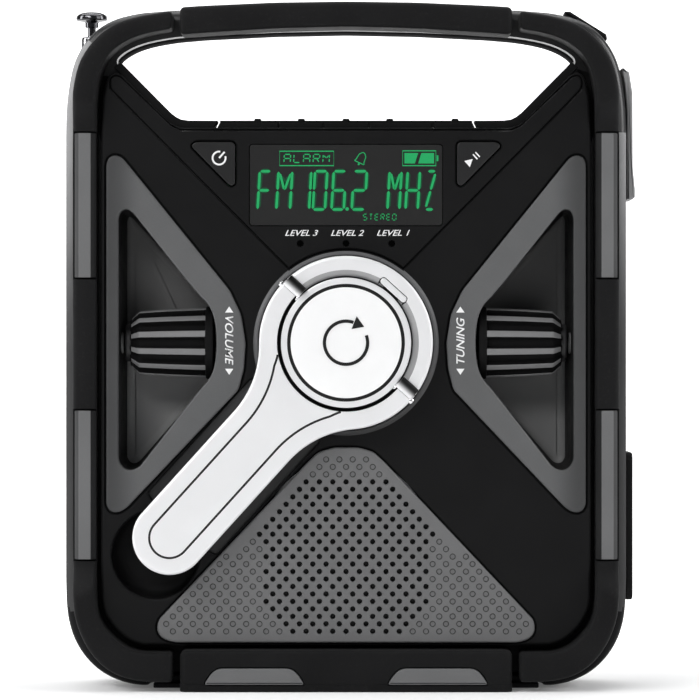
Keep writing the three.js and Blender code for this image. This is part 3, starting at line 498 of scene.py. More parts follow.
        # a trace of pale dust where the slow noise is high
        dn = nd.new("ShaderNodeTexNoise")
        dn.inputs["Scale"].default_value = 1.0 / (0.9 * MM)
        dn.inputs["Detail"].default_value = 6.0
        ln.new(src, dn.inputs["Vector"])
        dr = nd.new("ShaderNodeMapRange")
        dr.inputs["From Min"].default_value = 0.56
        dr.inputs["From Max"].default_value = 0.8
        dr.inputs["To Min"].default_value = 0.0
        dr.inputs["To Max"].default_value = dust
        ln.new(dn.outputs["Fac"], dr.inputs["Value"])
        dm = nd.new("ShaderNodeMix")
        dm.data_type = "RGBA"
        dm.inputs["B"].default_value = (0.32, 0.31, 0.29, 1)
        ln.new(dr.outputs["Result"], dm.inputs["Factor"])
        ln.new(out_color, dm.inputs["A"])
        out_color = dm.outputs["Result"]
    ln.new(out_color, b.inputs["Base Color"])
    rv = nd.new("ShaderNodeTexNoise")
    rv.inputs["Scale"].default_value = 1.0 / (3.5 * MM)
    rv.inputs["Detail"].default_value = 5.0
    ln.new(src, rv.inputs["Vector"])
    rm = nd.new("ShaderNodeMapRange")
    rm.inputs["From Min"].default_value = 0.3
    rm.inputs["From Max"].default_value = 0.7
    rm.inputs["To Min"].default_value = max(0.02, rough - rough_var)
    rm.inputs["To Max"].default_value = min(1.0, rough + rough_var)
    ln.new(rv.outputs["Fac"], rm.inputs["Value"])
    ln.new(rm.outputs["Result"], b.inputs["Roughness"])
    bp = nd.new("ShaderNodeBump")
    bp.inputs["Strength"].default_value = bump
    bp.inputs["Distance"].default_value = depth * MM
    ln.new(fine.outputs["Fac"], bp.inputs["Height"])
    ln.new(bp.outputs["Normal"], b.inputs["Normal"])
    if spec_fade:
        # the moulding is buffed glossier towards its top
        (z0, s0), (z1, s1) = spec_fade
        sx2 = nd.new("ShaderNodeSeparateXYZ")
        ln.new(src, sx2.inputs["Vector"])
        sf = nd.new("ShaderNodeMapRange")
        sf.interpolation_type = "SMOOTHSTEP"
        sf.inputs["From Min"].default_value = z0 * MM
        sf.inputs["From Max"].default_value = z1 * MM
        sf.inputs["To Min"].default_value = s0
        sf.inputs["To Max"].default_value = s1
        ln.new(sx2.outputs["Z"], sf.inputs["Value"])
        ln.new(sf.outputs["Result"], b.inputs["Specular IOR Level"])
    if emit:
        b.inputs["Emission Color"].default_value = (*emit, 1)
        b.inputs["Emission Strength"].default_value = emit_strength
    return m


def g(v):
    """Linear value of an 8-bit grey."""
    v /= 255
    return v / 12.92 if v <= 0.04045 else ((v + 0.055) / 1.055) ** 2.4


M = {
    "black": surface("black_abs", (0.0075, 0.0075, 0.0078), 0.5, spec=0.09, grain=0.22, bump=0.25, depth=0.012, mottle=0.08, speck=0.1, rough_var=0.04),
    "black_gloss": surface("rim_abs", (0.01, 0.01, 0.0105), 0.34, spec=0.5, spec_fade=((45, 0.05), (165, 0.6)), grain=0.3, bump=0.12, depth=0.008, mottle=0.1, speck=0.06, rough_var=0.05),
    "rubber": surface("bumper_tpe", (0.0088, 0.0088, 0.0092), 0.62, spec=0.08, grain=0.16, bump=0.4, depth=0.015, mottle=0.12, speck=0.16, rough_var=0.05, sheen=0.02, dust=0.02),
    "insert": surface("insert_tpe", (0.135, 0.136, 0.138), 0.62, spec=0.3, grain=0.2, bump=0.35, depth=0.014, mottle=0.05, speck=0.05, rough_var=0.05, dust=0.02),
    # the inserts' sloped sides: darker copies of the insert rubber as painted shade, the inner side darker than the
    # outer
    "insert_inner_side_painted_shade": surface("insert_side_tpe", (0.02, 0.02, 0.0205), 0.7, spec=0.1, grain=0.2, bump=0.35, depth=0.014, mottle=0.08, speck=0.08),
    "insert_outer_side_painted_shade": surface("insert_outer_tpe", (0.06, 0.06, 0.061), 0.7, spec=0.1, grain=0.2, bump=0.35, depth=0.014, mottle=0.08, speck=0.08),
    # upper port cover: the insert grey made lighter throughout, painted light against the shade it sits in
    "cover": surface("cover_tpe", (0.3, 0.3, 0.303), 0.62, spec=0.2, grain=0.2, bump=0.35, depth=0.014, mottle=0.05, speck=0.05),
    # knob flutes: the valleys near-black as painted shade, the rib tops light grey as painted highlight
    "groove": surface("knob_groove", (0.0075, 0.0075, 0.0077), 0.6, spec=0.05, grain=0.3, bump=0.15, depth=0.01, mottle=0.1, speck=0.08),
    "rib": surface("knob_rib_abs", (0.19, 0.19, 0.192), 0.45, spec=0.2, grain=0.3, bump=0.15, depth=0.01, mottle=0.05, speck=0.05),
    # bezel grey: its own grey, darkened towards the outer edge as painted shade
    "grey": surface("grey_abs", (0.112, 0.113, 0.115), 0.5, spec=0.2, grain=0.24, bump=0.3, depth=0.012, mottle=0.05, speck=0.05, rough_var=0.04, painted_shading=("X", (56, 1.0), (65.5, 0.48))),
    "grille": surface("grille_abs", (0.14, 0.14, 0.142), 0.5, spec=0.32, grain=0.24, bump=0.3, depth=0.012, mottle=0.04, speck=0.04, rough_var=0.04),
    # hub band and channel floor: their own grey, darkened towards the bottom as painted shade
    "trim": surface("trim_ring", (0.115, 0.115, 0.118), 0.42, spec=0.4, grain=0.25, bump=0.2, depth=0.01, mottle=0.05, speck=0.04, rough_var=0.04, painted_shading=("Z", (58, 0.12), (112, 1.0))),
    # up-facing bevels: painted highlight, lighter and glossier than the black
    "edge": surface("top_bevel_painted_highlight_abs", (0.016, 0.016, 0.0165), 0.3, spec=0.6, grain=0.3, bump=0.1, depth=0.008, mottle=0.1, speck=0.06),
    # handle underside: painted light, brightening towards the back
    "underside": surface("underside_abs", (0.01, 0.01, 0.0102), 0.7, spec=0.0, grain=0.22, bump=0.25, depth=0.012, mottle=0.08, speck=0.1, painted_shading=("Y", (-4, 0.6), (15.5, 9.0))),
    # flange rim: painted highlight, bright at the top and fading dark lower down
    "rim": surface("rim_abs", (0.3, 0.3, 0.303), 0.65, spec=0.0, grain=0.22, bump=0.2, depth=0.01, mottle=0.05, speck=0.05, painted_shading=("Z", (90, 0.2), (172, 1.0))),
    # well walls: near-black as painted shade against the lighter well floors
    "well_wall_painted_shade": surface("well_wall_abs", (0.012, 0.012, 0.0122), 0.55, spec=0.12, grain=0.22, bump=0.3, depth=0.012, mottle=0.08, speck=0.08),
    # dimple walls: darker grey as painted shade in each dimple
    "dimple": surface("grille_dimple_abs", (0.05, 0.05, 0.0505), 0.6, spec=0.1, grain=0.22, bump=0.25, depth=0.01, mottle=0.08, speck=0.08),
    # well floors: their own grey, darkened towards the top as painted shade; the left floor is a lighter copy as
    # painted light
    "well_left_painted_light": surface("well_left_abs", (0.37, 0.37, 0.3704), 0.55, spec=0.15, grain=0.24, bump=0.3, depth=0.012, mottle=0.04, speck=0.05, rough_var=0.04, painted_shading=("Z", (70, 1.0), (125, 0.4))),
    "well": surface("well_abs", (0.24, 0.24, 0.2404), 0.55, spec=0.15, grain=0.24, bump=0.3, depth=0.012, mottle=0.04, speck=0.05, rough_var=0.04, painted_shading=("Z", (70, 1.0), (125, 0.5))),
    "knob": surface("knob_abs", (0.024, 0.024, 0.025), 0.42, spec=0.3, grain=0.3, bump=0.15, depth=0.01, mottle=0.08, speck=0.06, rough_var=0.05),
    "button": surface("button_abs", (0.011, 0.011, 0.0115), 0.42, spec=0.3, grain=0.22, bump=0.2, depth=0.01, mottle=0.08, speck=0.08, rough_var=0.04),
    "silver": surface("satin_silver", (0.84, 0.84, 0.85), 0.4, metal=0.25, spec=0.5, grain=0.08, bump=0.08, depth=0.004, mottle=0.015, speck=0.02, rough_var=0.04, coat=0.25, coat_rough=0.12),
    "silver_dim": surface("shaded_silver", (0.36, 0.36, 0.365), 0.36, metal=0.35, spec=0.5, grain=0.08, bump=0.08, depth=0.004, mottle=0.03, speck=0.02, rough_var=0.04),
    "white": surface("white_cap", (0.93, 0.93, 0.93), 0.24, spec=0.5, grain=0.5, bump=0.03, depth=0.004, mottle=0.01, speck=0.005, rough_var=0.03, coat=0.4, coat_rough=0.05),
    "chrome": surface("chrome", (0.86, 0.86, 0.87), 0.09, metal=1.0, grain=0.4, bump=0.03, depth=0.003, mottle=0.03, speck=0.02, rough_var=0.03),
    "black_chrome": surface("smoked_chrome", (0.09, 0.09, 0.095), 0.14, metal=1.0, grain=0.4, bump=0.03, depth=0.003, mottle=0.05, speck=0.03, rough_var=0.03),
    # hinge barrels: painted reflection, dark on the ring side and bright towards the arm
    "hinge": surface("hinge_painted_reflection", (0.92, 0.92, 0.93), 0.35, spec=0.15, metal=0.0, grain=0.4, bump=0.03, depth=0.003, mottle=0.02, speck=0.01, rough_var=0.03, painted_shading=("U", (-3.75, 0.02), (-0.5, 1.0))),
    "tube": surface("tube_chrome", (0.34, 0.34, 0.35), 0.2, metal=1.0, grain=0.4, bump=0.03, depth=0.003, mottle=0.05, speck=0.03, rough_var=0.04),
    "steel": surface("brushed_steel", (0.5, 0.5, 0.51), 0.34, metal=1.0, grain=0.3, bump=0.2, depth=0.006, mottle=0.06, speck=0.05, rough_var=0.08, brushed=(1, 1, 0.08)),
    "brass": surface("brass", (0.66, 0.45, 0.2), 0.32, metal=1.0, grain=0.3, bump=0.12, depth=0.005, mottle=0.08, speck=0.05),
    "nylon": surface("nylon", (0.72, 0.69, 0.6), 0.5, spec=0.45, grain=0.35, bump=0.15, depth=0.01, mottle=0.04, speck=0.03),
    "board": surface("solder_mask", (0.015, 0.13, 0.05), 0.32, spec=0.5, grain=0.5, bump=0.12, depth=0.01, mottle=0.12, speck=0.1, coat=0.3),
    "lcd": surface("lcd_cell", (0.02, 0.05, 0.035), 0.3, spec=0.4, grain=0.6, bump=0.05, depth=0.004, mottle=0.06, speck=0.03),
    "screen": surface("display_lens", (0.021, 0.021, 0.021), 0.35, spec=0.12, grain=0.8, bump=0.02, depth=0.002, mottle=0.03, speck=0.02, rough_var=0.03, coat=0.0, coat_rough=0.04),
    "glow": surface("lcd_segment", (0.02, 0.26, 0.09), 0.35, spec=0.1, grain=0.5, bump=0.02, depth=0.002, mottle=0.06, speck=0.05, emit=(0.012, 0.4, 0.11), emit_strength=0.3),
    "halo": surface("lcd_glow", (0.006, 0.05, 0.022), 0.4, spec=0.2, grain=0.5, bump=0.02, depth=0.002, mottle=0.15, speck=0.05, emit=(0.003, 0.04, 0.016), emit_strength=0.5),
    "clear": surface("light_pipe", (0.0006, 0.0006, 0.0006), 0.3, spec=0.02, grain=0.6, bump=0.05, depth=0.004, mottle=0.05, speck=0.03, coat=0.0),
    "print": surface("white_print", (0.88, 0.88, 0.88), 0.5, spec=0.3, grain=0.12, bump=0.1, depth=0.004, mottle=0.02, speck=0.03),
    # black print; the same material is laid into the crank's gaps and grooves as painted shade
    "dark_print_and_painted_shade": surface("black_print_and_painted_shade", (0.008, 0.008, 0.008), 0.4, spec=0.3, grain=0.12, bump=0.1, depth=0.004, mottle=0.1, speck=0.03),
    "paper": surface("cone_paper", (0.02, 0.019, 0.018), 0.9, spec=0.2, grain=0.5, bump=0.5, depth=0.03, mottle=0.2, speck=0.2),
    "battery": surface("battery_wrap", (0.03, 0.07, 0.16), 0.38, spec=0.5, grain=0.9, bump=0.08, depth=0.01, mottle=0.06, speck=0.03, coat=0.3),
    "door": surface("door_abs", (0.0085, 0.0085, 0.0088), 0.5, spec=0.28, grain=0.22, bump=0.35, depth=0.014, mottle=0.08, speck=0.12, rough_var=0.05),
    "solar": surface("solar_cell", (0.006, 0.011, 0.04), 0.16, spec=0.5, grain=2.2, bump=0.03, depth=0.004, mottle=0.35, mottle_size=3.0, speck=0.15, coat=0.8, coat_rough=0.03),
    "bus": surface("solar_busbar", (0.55, 0.55, 0.54), 0.4, metal=0.8, grain=0.2, bump=0.1, depth=0.004, mottle=0.05, speck=0.05),
    "pad": surface("sole_rubber", (0.02, 0.02, 0.021), 0.8, spec=0.2, grain=0.4, bump=0.6, depth=0.03, mottle=0.15, speck=0.15, dust=0.04),
}

NODE_LOOK = {
    "lcd_module": "lcd", "main_board": "board", "indicator_light_pipe": "clear", "speaker_basket": "steel", "speaker_cone": "paper",
    "volume_potentiometer": "steel", "tuning_encoder": "steel", "drive_gear": "nylon", "idler_gear": "nylon", "generator_pinion": "brass",
    "generator": "steel", "gear_plate": "steel", "battery_pack": "battery", "usb_sockets": "steel", "headphone_socket": "button",
    "charging_socket": "button",
}


# ================================================================ casing
opening = [*OPENING_LOW, *OPENING_TOP, *[(-x, z) for x, z in reversed(OPENING_TOP[:-1])], *[(-x, z) for x, z in reversed(OPENING_LOW[1:])]]
opening_s = smooth(opening, 3.0)
case_s = smooth(mirror(CASE), 4.0)
face_s = smooth(mirror(FACE), 3.0)
display_half = [p for i, p in enumerate(arc(0, HUB_Z, 26.2, 90, 52.8, 20)) if i > 0]
display_outline = mirror([*display_half, (65.3, 167.4), (65.6, 169.6), (64.6, 170.9), (62.9, 170.6), (48.6, 156.9), (45.8, 155.7)])


def soften_corners(pts, keep_r2=26.5):
    """Rounds the small corners and leaves the arc round the hub as it is."""
    hub = [p for p in pts if math.hypot(p[0], p[1] - HUB_Z) < keep_r2]
    rest = [p for p in pts if math.hypot(p[0], p[1] - HUB_Z) >= keep_r2]
    i = next(k for k, p in enumerate(pts) if p in rest and pts[k - 1] in hub)
    order = pts[i:] + pts[:i]
    rest = [p for p in order if math.hypot(p[0], p[1] - HUB_Z) >= keep_r2]
    hub = [p for p in order if math.hypot(p[0], p[1] - HUB_Z) < keep_r2]
    return smooth([hub[-1], *rest, hub[0]], 1.2, 2, closed=False) + hub[1:-1]


display_s = soften_corners(display_outline)
bezel_outer = [(66.6, 146.4), (65.9, 148.2), (64.2, 148.9), (62.2, 148.2), (32.4, 111.3), (29.2, 104.6), (27.9, 96.7), (28.4, 89.4), (29.9, 83.6),
               (61, 50.8), (63, 49.6), (65.2, 49.6), (66.6, 51.4)]
well_outline = [(63.2, 131.6), (62.4, 133.4), (60.8, 133.9), (59.2, 132.8), (39.5, 109.3), (36.7, 107.9), (36.2, 96.7), (36.7, 85.5),
                (39.7, 84.2), (57.4, 62.2), (59.6, 61.2), (61.8, 61.8), (63.2, 64)]
bezel_in = [(63.2, 131.6), (62.4, 133.4), (60.8, 133.9), (59.2, 132.8), (44.3, 114.1), (40.4, 109.5), (38.2, 107.3), (36.9, 104.7), (36.1, 100.8), (35.95, 96.7),
            (36.1, 92.6), (36.9, 88.7), (38.3, 86.2), (40.7, 83.6), (57.4, 62.2), (59.6, 61.2), (61.8, 61.8), (63.2, 64)]
bezel_in_s = smooth(bezel_in, 2.0, 3)
bezel_s = smooth(bezel_outer, 2.2, 3)
well_s = smooth(well_outline, 2.0, 3)
grille_outline = mirror([(47.6, 13.4), (50.9, 14.3), (52.6, 16.6), (52.2, 19.6), (10.9, 63.3), (7.6, 66.4), (3.5, 67.6)])
grille_s = smooth(grille_outline, 2.0, 3)
button_outline = [(-42.7, 152.1), (-41.4, 152.6), (-31.6, 152.6), (-30.8, 151.8), (-30.8, 140.9), (-31.7, 140.2), (-32.6, 140.6), (-42.9, 151.1)]
button_s = smooth(button_outline, 1.0, 3)
channel = [uv(25.0, 12.8), uv(68, 12.8), uv(70, 0), uv(68, -12.8), uv(25.0, -12.8)]
INNER = mirror([(60, 5), (67, 8.5), (72.5, 14.5), (75.5, 21.5), (76.3, 34), (76.3, 146), (70, 152.5)])

deep_s = []
for a, b in zip(well_s, offset(well_s, -1.35)):
    k = min(1.0, max(0.0, (a[0] - 40.6) / 3.2))
    deep_s.append((a[0] + (b[0] - a[0]) * k, a[1] + (b[1] - a[1]) * k))


def well_cutter(s):
    rings = []
    for outline, y in ((well_s, FACE_Y - 1), (well_s, FACE_Y + 1.0), (deep_s, 1.2), (offset(deep_s, -0.2), 2.3), (offset(deep_s, -0.7), 3.1), (offset(deep_s, -1.4), 3.5), (offset(deep_s, -2.2), 3.6)):
        rings.append([(x, y, z) for x, z in flip(outline, s)])
    return skin("t", rings)


m = loft("front_housing_moulding", face_s, rim(FACE_Y, FLANGE_Y + 0.1, 0.9, 0))
m = add(m, loft("t", case_s, rim(FLANGE_Y, SPLIT_Y - 0.1, 2.9, 0.3, 6)))
m = cut(m, loft("t", mirror([(57, 15.6), (61, 17.6), (64, 21.4), (65.4, 26.6), (65.4, 149), (62, 152.5)]), [(0, -16), (0, 0)]),
        loft("t", INNER, [(0, FLANGE_Y + 2.5), (0, 0)]))
for s in (-1, 1):
    m = add(m, loft("t", flip(offset(well_s, 1.9), s), [(0, FACE_Y + 1.6), (0, 6)]))
    m = cut(m, loft("t", flip(bezel_s, s), [(-0.75, FACE_Y - 1), (-0.75, FACE_Y), (-0.35, FACE_Y + 0.4), (-0.35, FACE_Y + 1.4)]),
            well_cutter(s),
            rod("t", 2.9, (s * 30, KNOB_Y, HUB_Z), (s, 0, 0), 8))
    m = add(m, lathe("t", [(0, 0), (2.7, 0), (3.1, 0.4), (3.1, 2.2), (0, 2.2)], (s * 62.2, KNOB_Y, HUB_Z), (s, 0, 0), 48))
m = add(m, loft("t", disc(0, HUB_Z, 26.5, 96), [(0, FACE_Y + 0.5), (0, -13.5)]),
        lathe("t", [(24.4, 1.5), (24.4, -0.45), (24.65, -0.7), (25.1, -0.66), (25.9, 0.1), (25.9, 1.5), (24.4, 1.5)], (0, FACE_Y, HUB_Z), (0, 1, 0), 128))
m = cut(m, loft("t", disc(0, HUB_Z, RING_R + 0.4, 128), [(0, FACE_Y - 2), (0, -17.6)]), rod("t", 3.35, (0, -18, HUB_Z), (0, 1, 0), 6))
m = add(m, loft("t", channel, [(0, -17.6), (0, -14.6)]), loft("t", disc(-53, 37.8, 14, 64), [(0, -18), (0, -7)]))
m = cut(m, loft("t", smooth(channel, 2.5), pocket(FACE_Y, -18.2, 0.7, 0.0)), loft("t", disc(-53, 37.8, 12.2, 96), pocket(FACE_Y, -9, 0.8, 3.5, 5)))
m = cut(m, loft("t", display_s, [(-0.7, FACE_Y - 1), (-0.7, FACE_Y), (-0.3, FACE_Y + 0.4), (-0.3, FACE_Y + 2)]),
        loft("t", rounded(-26.9, 129.2, 26.9, 151.9, 1), [(0, FACE_Y - 1), (0, -15)]),
        *[loft("t", flip(offset(button_s, 0.4), s), [(0, FACE_Y - 1), (0, -12.6)]) for s in (-1, 1)],
        *[loft("t", disc(x, 124.3, 1.3, 24), [(0, FACE_Y - 1), (0, -13)]) for x in (-12.7, 0, 12.7)],
        loft("t", grille_s, [(-0.7, FACE_Y - 1), (-0.7, FACE_Y), (-0.3, FACE_Y + 0.4), (-0.3, FACE_Y + 2.3)]),
        loft("t", disc(0, SPEAKER_Z, 23.5, 64), [(0, FACE_Y), (0, -15)]))
m = cut(m, loft("t", opening_s, [(0, FLANGE_Y - 1.5), (0, 0)]), *[box("t", x0 - GAP, x1 + GAP, -16.3, -5.9, 154, 160) for x0, x1 in TOP_KEYS])
for s in (-1, 1):
    m = add(m, loft("t", flip([(36.95, 156.2), (35.8, 158.6), (44.0, 158.65), (46.0, 158.95), (47.4, 159.65), (48.85, 160.8), (62.9, 175.0), (64.6, 173.4), (50.6, 158.6), (47, 156.2)], s), [(0.12, -16.6), (0, -16.4), (0, -5.0)]))
m = add(m, box("t", -35.45, 35.45, -5.3, -1.4, 153.8, 159.2, 0.15))
place(m, "casing", "black_plastic", M["black"], "front_housing")
m.data.materials.append(M["black_gloss"])
m.data.materials.append(M["trim"])
m.data.materials.append(M["well"])
m.data.materials.append(M["edge"])
m.data.materials.append(M["underside"])
m.data.materials.append(M["rim"])
m.data.materials.append(M["well_wall_painted_shade"])
m.data.materials.append(M["well_left_painted_light"])
for p in m.data.polygons:
    c = p.center / MM
    r = math.hypot(c.x, c.z - HUB_Z)
    u, v = (c.x * U[0] + (c.z - HUB_Z) * U[1]), (c.x * V[0] + (c.z - HUB_Z) * V[1])
    # the flange's outward-facing front fillet takes the rim's painted highlight
    if FLANGE_Y - 0.05 < c.y < FLANGE_Y + 2.95 and -0.995 < p.normal.y < -0.05 and p.normal.x * c.x > 0 and abs(c.x) > 71 and 22 < c.z < (181 if c.x < 0 else 156):
        p.material_index = 6
    elif c.y > FLANGE_Y - 0.2 and abs(c.x) > 70 or (c.y > FLANGE_Y - 0.1 and (c.z > 172 or c.z < 12)):
        p.material_index = 1
    # hub band and channel floor take the grey with painted shade towards the bottom
    elif 24.2 < r < 26.0 and c.y < FACE_Y + 0.05 and not (u > 0 and abs(v) < 12.8):
        p.material_index = 2
    elif abs(c.y + 18.2) < 0.02 and u > 24 and abs(v) < 13.2 and r > 24.3:
        p.material_index = 2
    # well walls take the near-black painted shade
    elif 1.25 > c.y > FACE_Y + 0.3 and 36 < abs(c.x) < 64 and 61 < c.z < 134.2 and abs(p.normal.y) < 0.5 and math.hypot(c.y - KNOB_Y, c.z - HUB_Z) > 3.3:
        p.material_index = 7
    # well floors: painted shade towards the top, and the left floor's lighter copy as painted light
    elif c.y > FACE_Y + 1.45 and 36 < abs(c.x) < 64 and 61 < c.z < 134.2 and c.y < 4.05:
        p.material_index = 3 if c.x > 0 else 8
    # up-facing bevels along the top take the painted highlight
    elif c.y < FACE_Y + 1.0 and c.z > 150 and p.normal.z > 0.25 and -0.97 < p.normal.y < -0.1:
        p.material_index = 4
    # the handle's underside takes the painted light
    elif c.z > 160 and p.normal.z < -0.3 and abs(p.normal.y) < 0.6 and abs(c.x) < 66:
        p.material_index = 5

back = mirror([(54, 1.5), (62, 3), (68, 7), (72.5, 13), (74.6, 20), (75.2, 30), (75.2, 140), (73, 148.5), (67, 154.5), (60, 156.4)])
m = loft("rear_housing_moulding", case_s, rim(SPLIT_Y + 0.1, HANDLE_BACK_Y, 0.3, 2.4, 6))
m = add(m, loft("t", smooth(back, 4), rim(HANDLE_BACK_Y - 3, BACK_Y, 0, 3.0, 6)))
m = cut(m, loft("t", INNER, [(0, SPLIT_Y - 2), (0, 13.6)]), loft("t", mirror([(58, 5), (63, 8), (66, 13), (66, 143), (62, 150)]), [(0, 13), (0, 23.4)]))
m = cut(m, loft("t", opening_s, [(0, -8), (0, HANDLE_BACK_Y - 1.6), (-0.3, HANDLE_BACK_Y - 0.7), (-1.0, HANDLE_BACK_Y - 0.1), (-1.6, HANDLE_BACK_Y), (-1.6, 30)]),
        box("t", -40, 40, -8, 30, 156.5, 160))
m = cut(m, box("t", -90, -67.8, 16.3, 40, 44.5, 200), rod("t", 2.4, (ANT_X, 12, ANT_Z), (0, 1, 0), 8),
        loft("t", rounded(-35.3, 7.7, 35.3, 56.3, 2), [(-0.5, 30), (-0.5, 26.05), (0, 25.5), (0, 24.0)]),
        loft("t", rounded(-32, 11, 32, 53, 2), [(0, 20), (0, 30)]),
        loft("t", rounded(-46.3, 71.7, 46.3, 140.3, 2.5), [(-0.5, 30), (-0.5, 26.05), (0, 25.5), (0, 24.6)]),
        rod("t", 3, (0, 20, 106), (0, 1, 0), 10),
        box("t", 70, 90, -1.3, 13.3, 138.2, 150.8, 0.4), rod("t", 3.6, (70, 6, 132), (1, 0, 0), 20), box("t", 70, 90, -0.3, 12.3, 31.7, 58.3, 0.4),
        loft("t", [(61.0, 191), (75.4, 182.3), (71.1, 178.0), (59.7, 185.3)], [(0, -1.3), (0, 9.3)]))
# moulded grip ribs down both flanks of the back, and the screw wells at its corners
SCREWS = [(-62, 17), (62, 17), (-54, 148.5), (54, 148.5), (-59, 66), (59, 66)]
m = cut(m, *[loft("t", disc(x, z, 3.3, 32), pocket(BACK_Y, BACK_Y - 2.4, 0.4, 0.0)) for x, z in SCREWS],
        *[loft("t", rounded(sx * 57 - 5.5, z - 0.55, sx * 57 + 5.5, z + 0.55, 0.5, 4), pocket(BACK_Y, BACK_Y - 0.6, 0.3)) for sx in (-1, 1) for z in range(84, 132, 4)])
place(m, "casing", "black_plastic", M["black"], "rear_housing")
m.data.materials.append(M["black_gloss"])
m.data.materials.append(M["underside"])
for p in m.data.polygons:
    c = p.center / MM
    # the handle's underside takes the painted light
    if c.z > 160 and p.normal.z < -0.2 and abs(c.x) < 66:
        p.material_index = 2
    elif c.y < HANDLE_BACK_Y + 0.1 and (abs(c.x) > 69.5 or c.z > 180 or c.z < 9):
        p.material_index = 1

screws = []
for i, (x, z) in enumerate(SCREWS):
    h = lathe("t", [(0, 0), (2.5, 0), (2.75, 0.15), (2.75, 0.7), (2.3, 1.25), (1.2, 1.5), (0, 1.55)], (x, BACK_Y - 2.42, z), (0, 1, 0), 32)
    a = 20 + 37 * i
    for da in (0, 90):
        t = math.radians(a + da)
        w = [(x + math.cos(t) * l - math.sin(t) * k, z + math.sin(t) * l + math.cos(t) * k) for l, k in ((-1.5, -0.28), (1.5, -0.28), (1.5, 0.28), (-1.5, 0.28))]
        h = cut(h, loft("t", w, [(0, BACK_Y - 1.6), (0, BACK_Y)]))
    screws.append(h)
place(merge("housing_screw_heads", screws), "casing", "steel", M["black_chrome"])

# the sole: a pad with moulded cross ribs
pad = loft("sole_pad", smooth([(-54, -9.4), (54, -9.4), (54, 21), (51, 24), (-51, 24), (-54, 21)], 1.2, 2), rim(0, 1.2, 0.3, 0), "xy")
pad = cut(pad, *[box("t", -50, 50, y - 0.5, y + 0.5, -1, 0.35) for y in range(-5, 22, 4)])
place(pad, "casing", "bumper_rubber", M["pad"], "base_pad")


# ================================================================ bumpers
def section(w, yf, yb, r_out, r_in, crown=0.35, k=5):
    """Cross-section from the outer edge to the inner one: (distance inwards, y)."""
    pts = [(0, yb)]
    pts += [(r_out * (1 - math.cos(math.pi / 2 * i / k)), yf + r_out * (1 - math.sin(math.pi / 2 * i / k))) for i in range(k + 1)]
    for t in (0.25, 0.5, 0.75):
        a = r_out + (w - r_out - r_in) * t
        pts.append((a, yf - crown * 4 * t * (1 - t) * 0.5))
    pts += [(w - r_in * (1 - math.sin(math.pi / 2 * i / k)), yf + r_in * (1 - math.cos(math.pi / 2 * i / k))) for i in range(k + 1)]
    pts.append((w, yb))
    return pts


def swept(name, outer, inner, front, yb, r_out, r_in, crown=0.3, end_r=0.9):
    """A bar between two matching lines; front(z) gives the height of its face; its two ends are rounded off."""
    rings = []
    n = len(outer)
    for i, (o, c) in enumerate(zip(outer, inner)):
        w = math.dist(o, c)
        d = ((c[0] - o[0]) / w, (c[1] - o[1]) / w)
        rings.append([((o[0] + d[0] * a), y, (o[1] + d[1] * a)) for a, y in section(w, front(o, c), yb, r_out, r_in, crown)])
    if end_r:
        def end(o, c, o2, c2):
            """Rings that round off the end at (o, c); (o2, c2) is the next station inwards."""
            out = ((o[0] + c[0] - o2[0] - c2[0]) / 2, (o[1] + c[1] - o2[1] - c2[1]) / 2)
            l = math.hypot(*out)
            out = (out[0] / l, out[1] / l)
            w = math.dist(o, c)
            d = ((c[0] - o[0]) / w, (c[1] - o[1]) / w)
            made = []
            for q in (0.0, 0.3, 0.6, 0.85, 1.0):
                push, shrink = end_r * (math.sin(math.pi / 2 * q) - 1), end_r * (1 - math.cos(math.pi / 2 * q))
                base = section(w - 2 * shrink, front(o, c) + shrink, yb, r_out, r_in, crown)
                made.append([((o[0] + d[0] * (a + shrink) + out[0] * push), y, (o[1] + d[1] * (a + shrink) + out[1] * push)) for a, y in base])
            return made

        first = end(outer[0], inner[0], outer[1], inner[1])
        last = end(outer[-1], inner[-1], outer[-2], inner[-2])
        keep = [i for i in range(1, n - 1) if min(math.dist(outer[i], outer[0]), math.dist(outer[i], outer[-1])) > end_r * 1.05]
        rings = list(reversed(first)) + [rings[i] for i in keep] + last
    return skin(name, rings)


def bumper_lines():
    lo_o = resample(smooth(BUMP_OUT[:10], 3, 3, closed=False), 46)
    lo_i = resample(smooth(BUMP_IN[:8], 3, 3, closed=False), 46)
    mid_o = resample([BUMP_OUT[9], BUMP_OUT[10]], 60)[1:]
    mid_i = resample([BUMP_IN[7], BUMP_IN[8]], 60)[1:]
    hi_o = resample(smooth(BUMP_OUT[10:], 3, 3, closed=False), 52)[1:]
    hi_i = resample(smooth(BUMP_IN[8:], 3, 3, closed=False), 52)[1:]
    return lo_o + mid_o + hi_o, lo_i + mid_i + hi_i


def step01(t):
    t = max(0.0, min(1.0, t))
    return t * t * (3 - 2 * t)


def bumper_front(o, c):
    z = (o[1] + c[1]) / 2
    if z > 96:
        return SIDE_Y + (CORNER_Y - SIDE_Y) * step01((z - 156.2) / 8.6)
    return SIDE_Y + (CORNER_Y - SIDE_Y) * step01((35.4 - z) / 8.6)


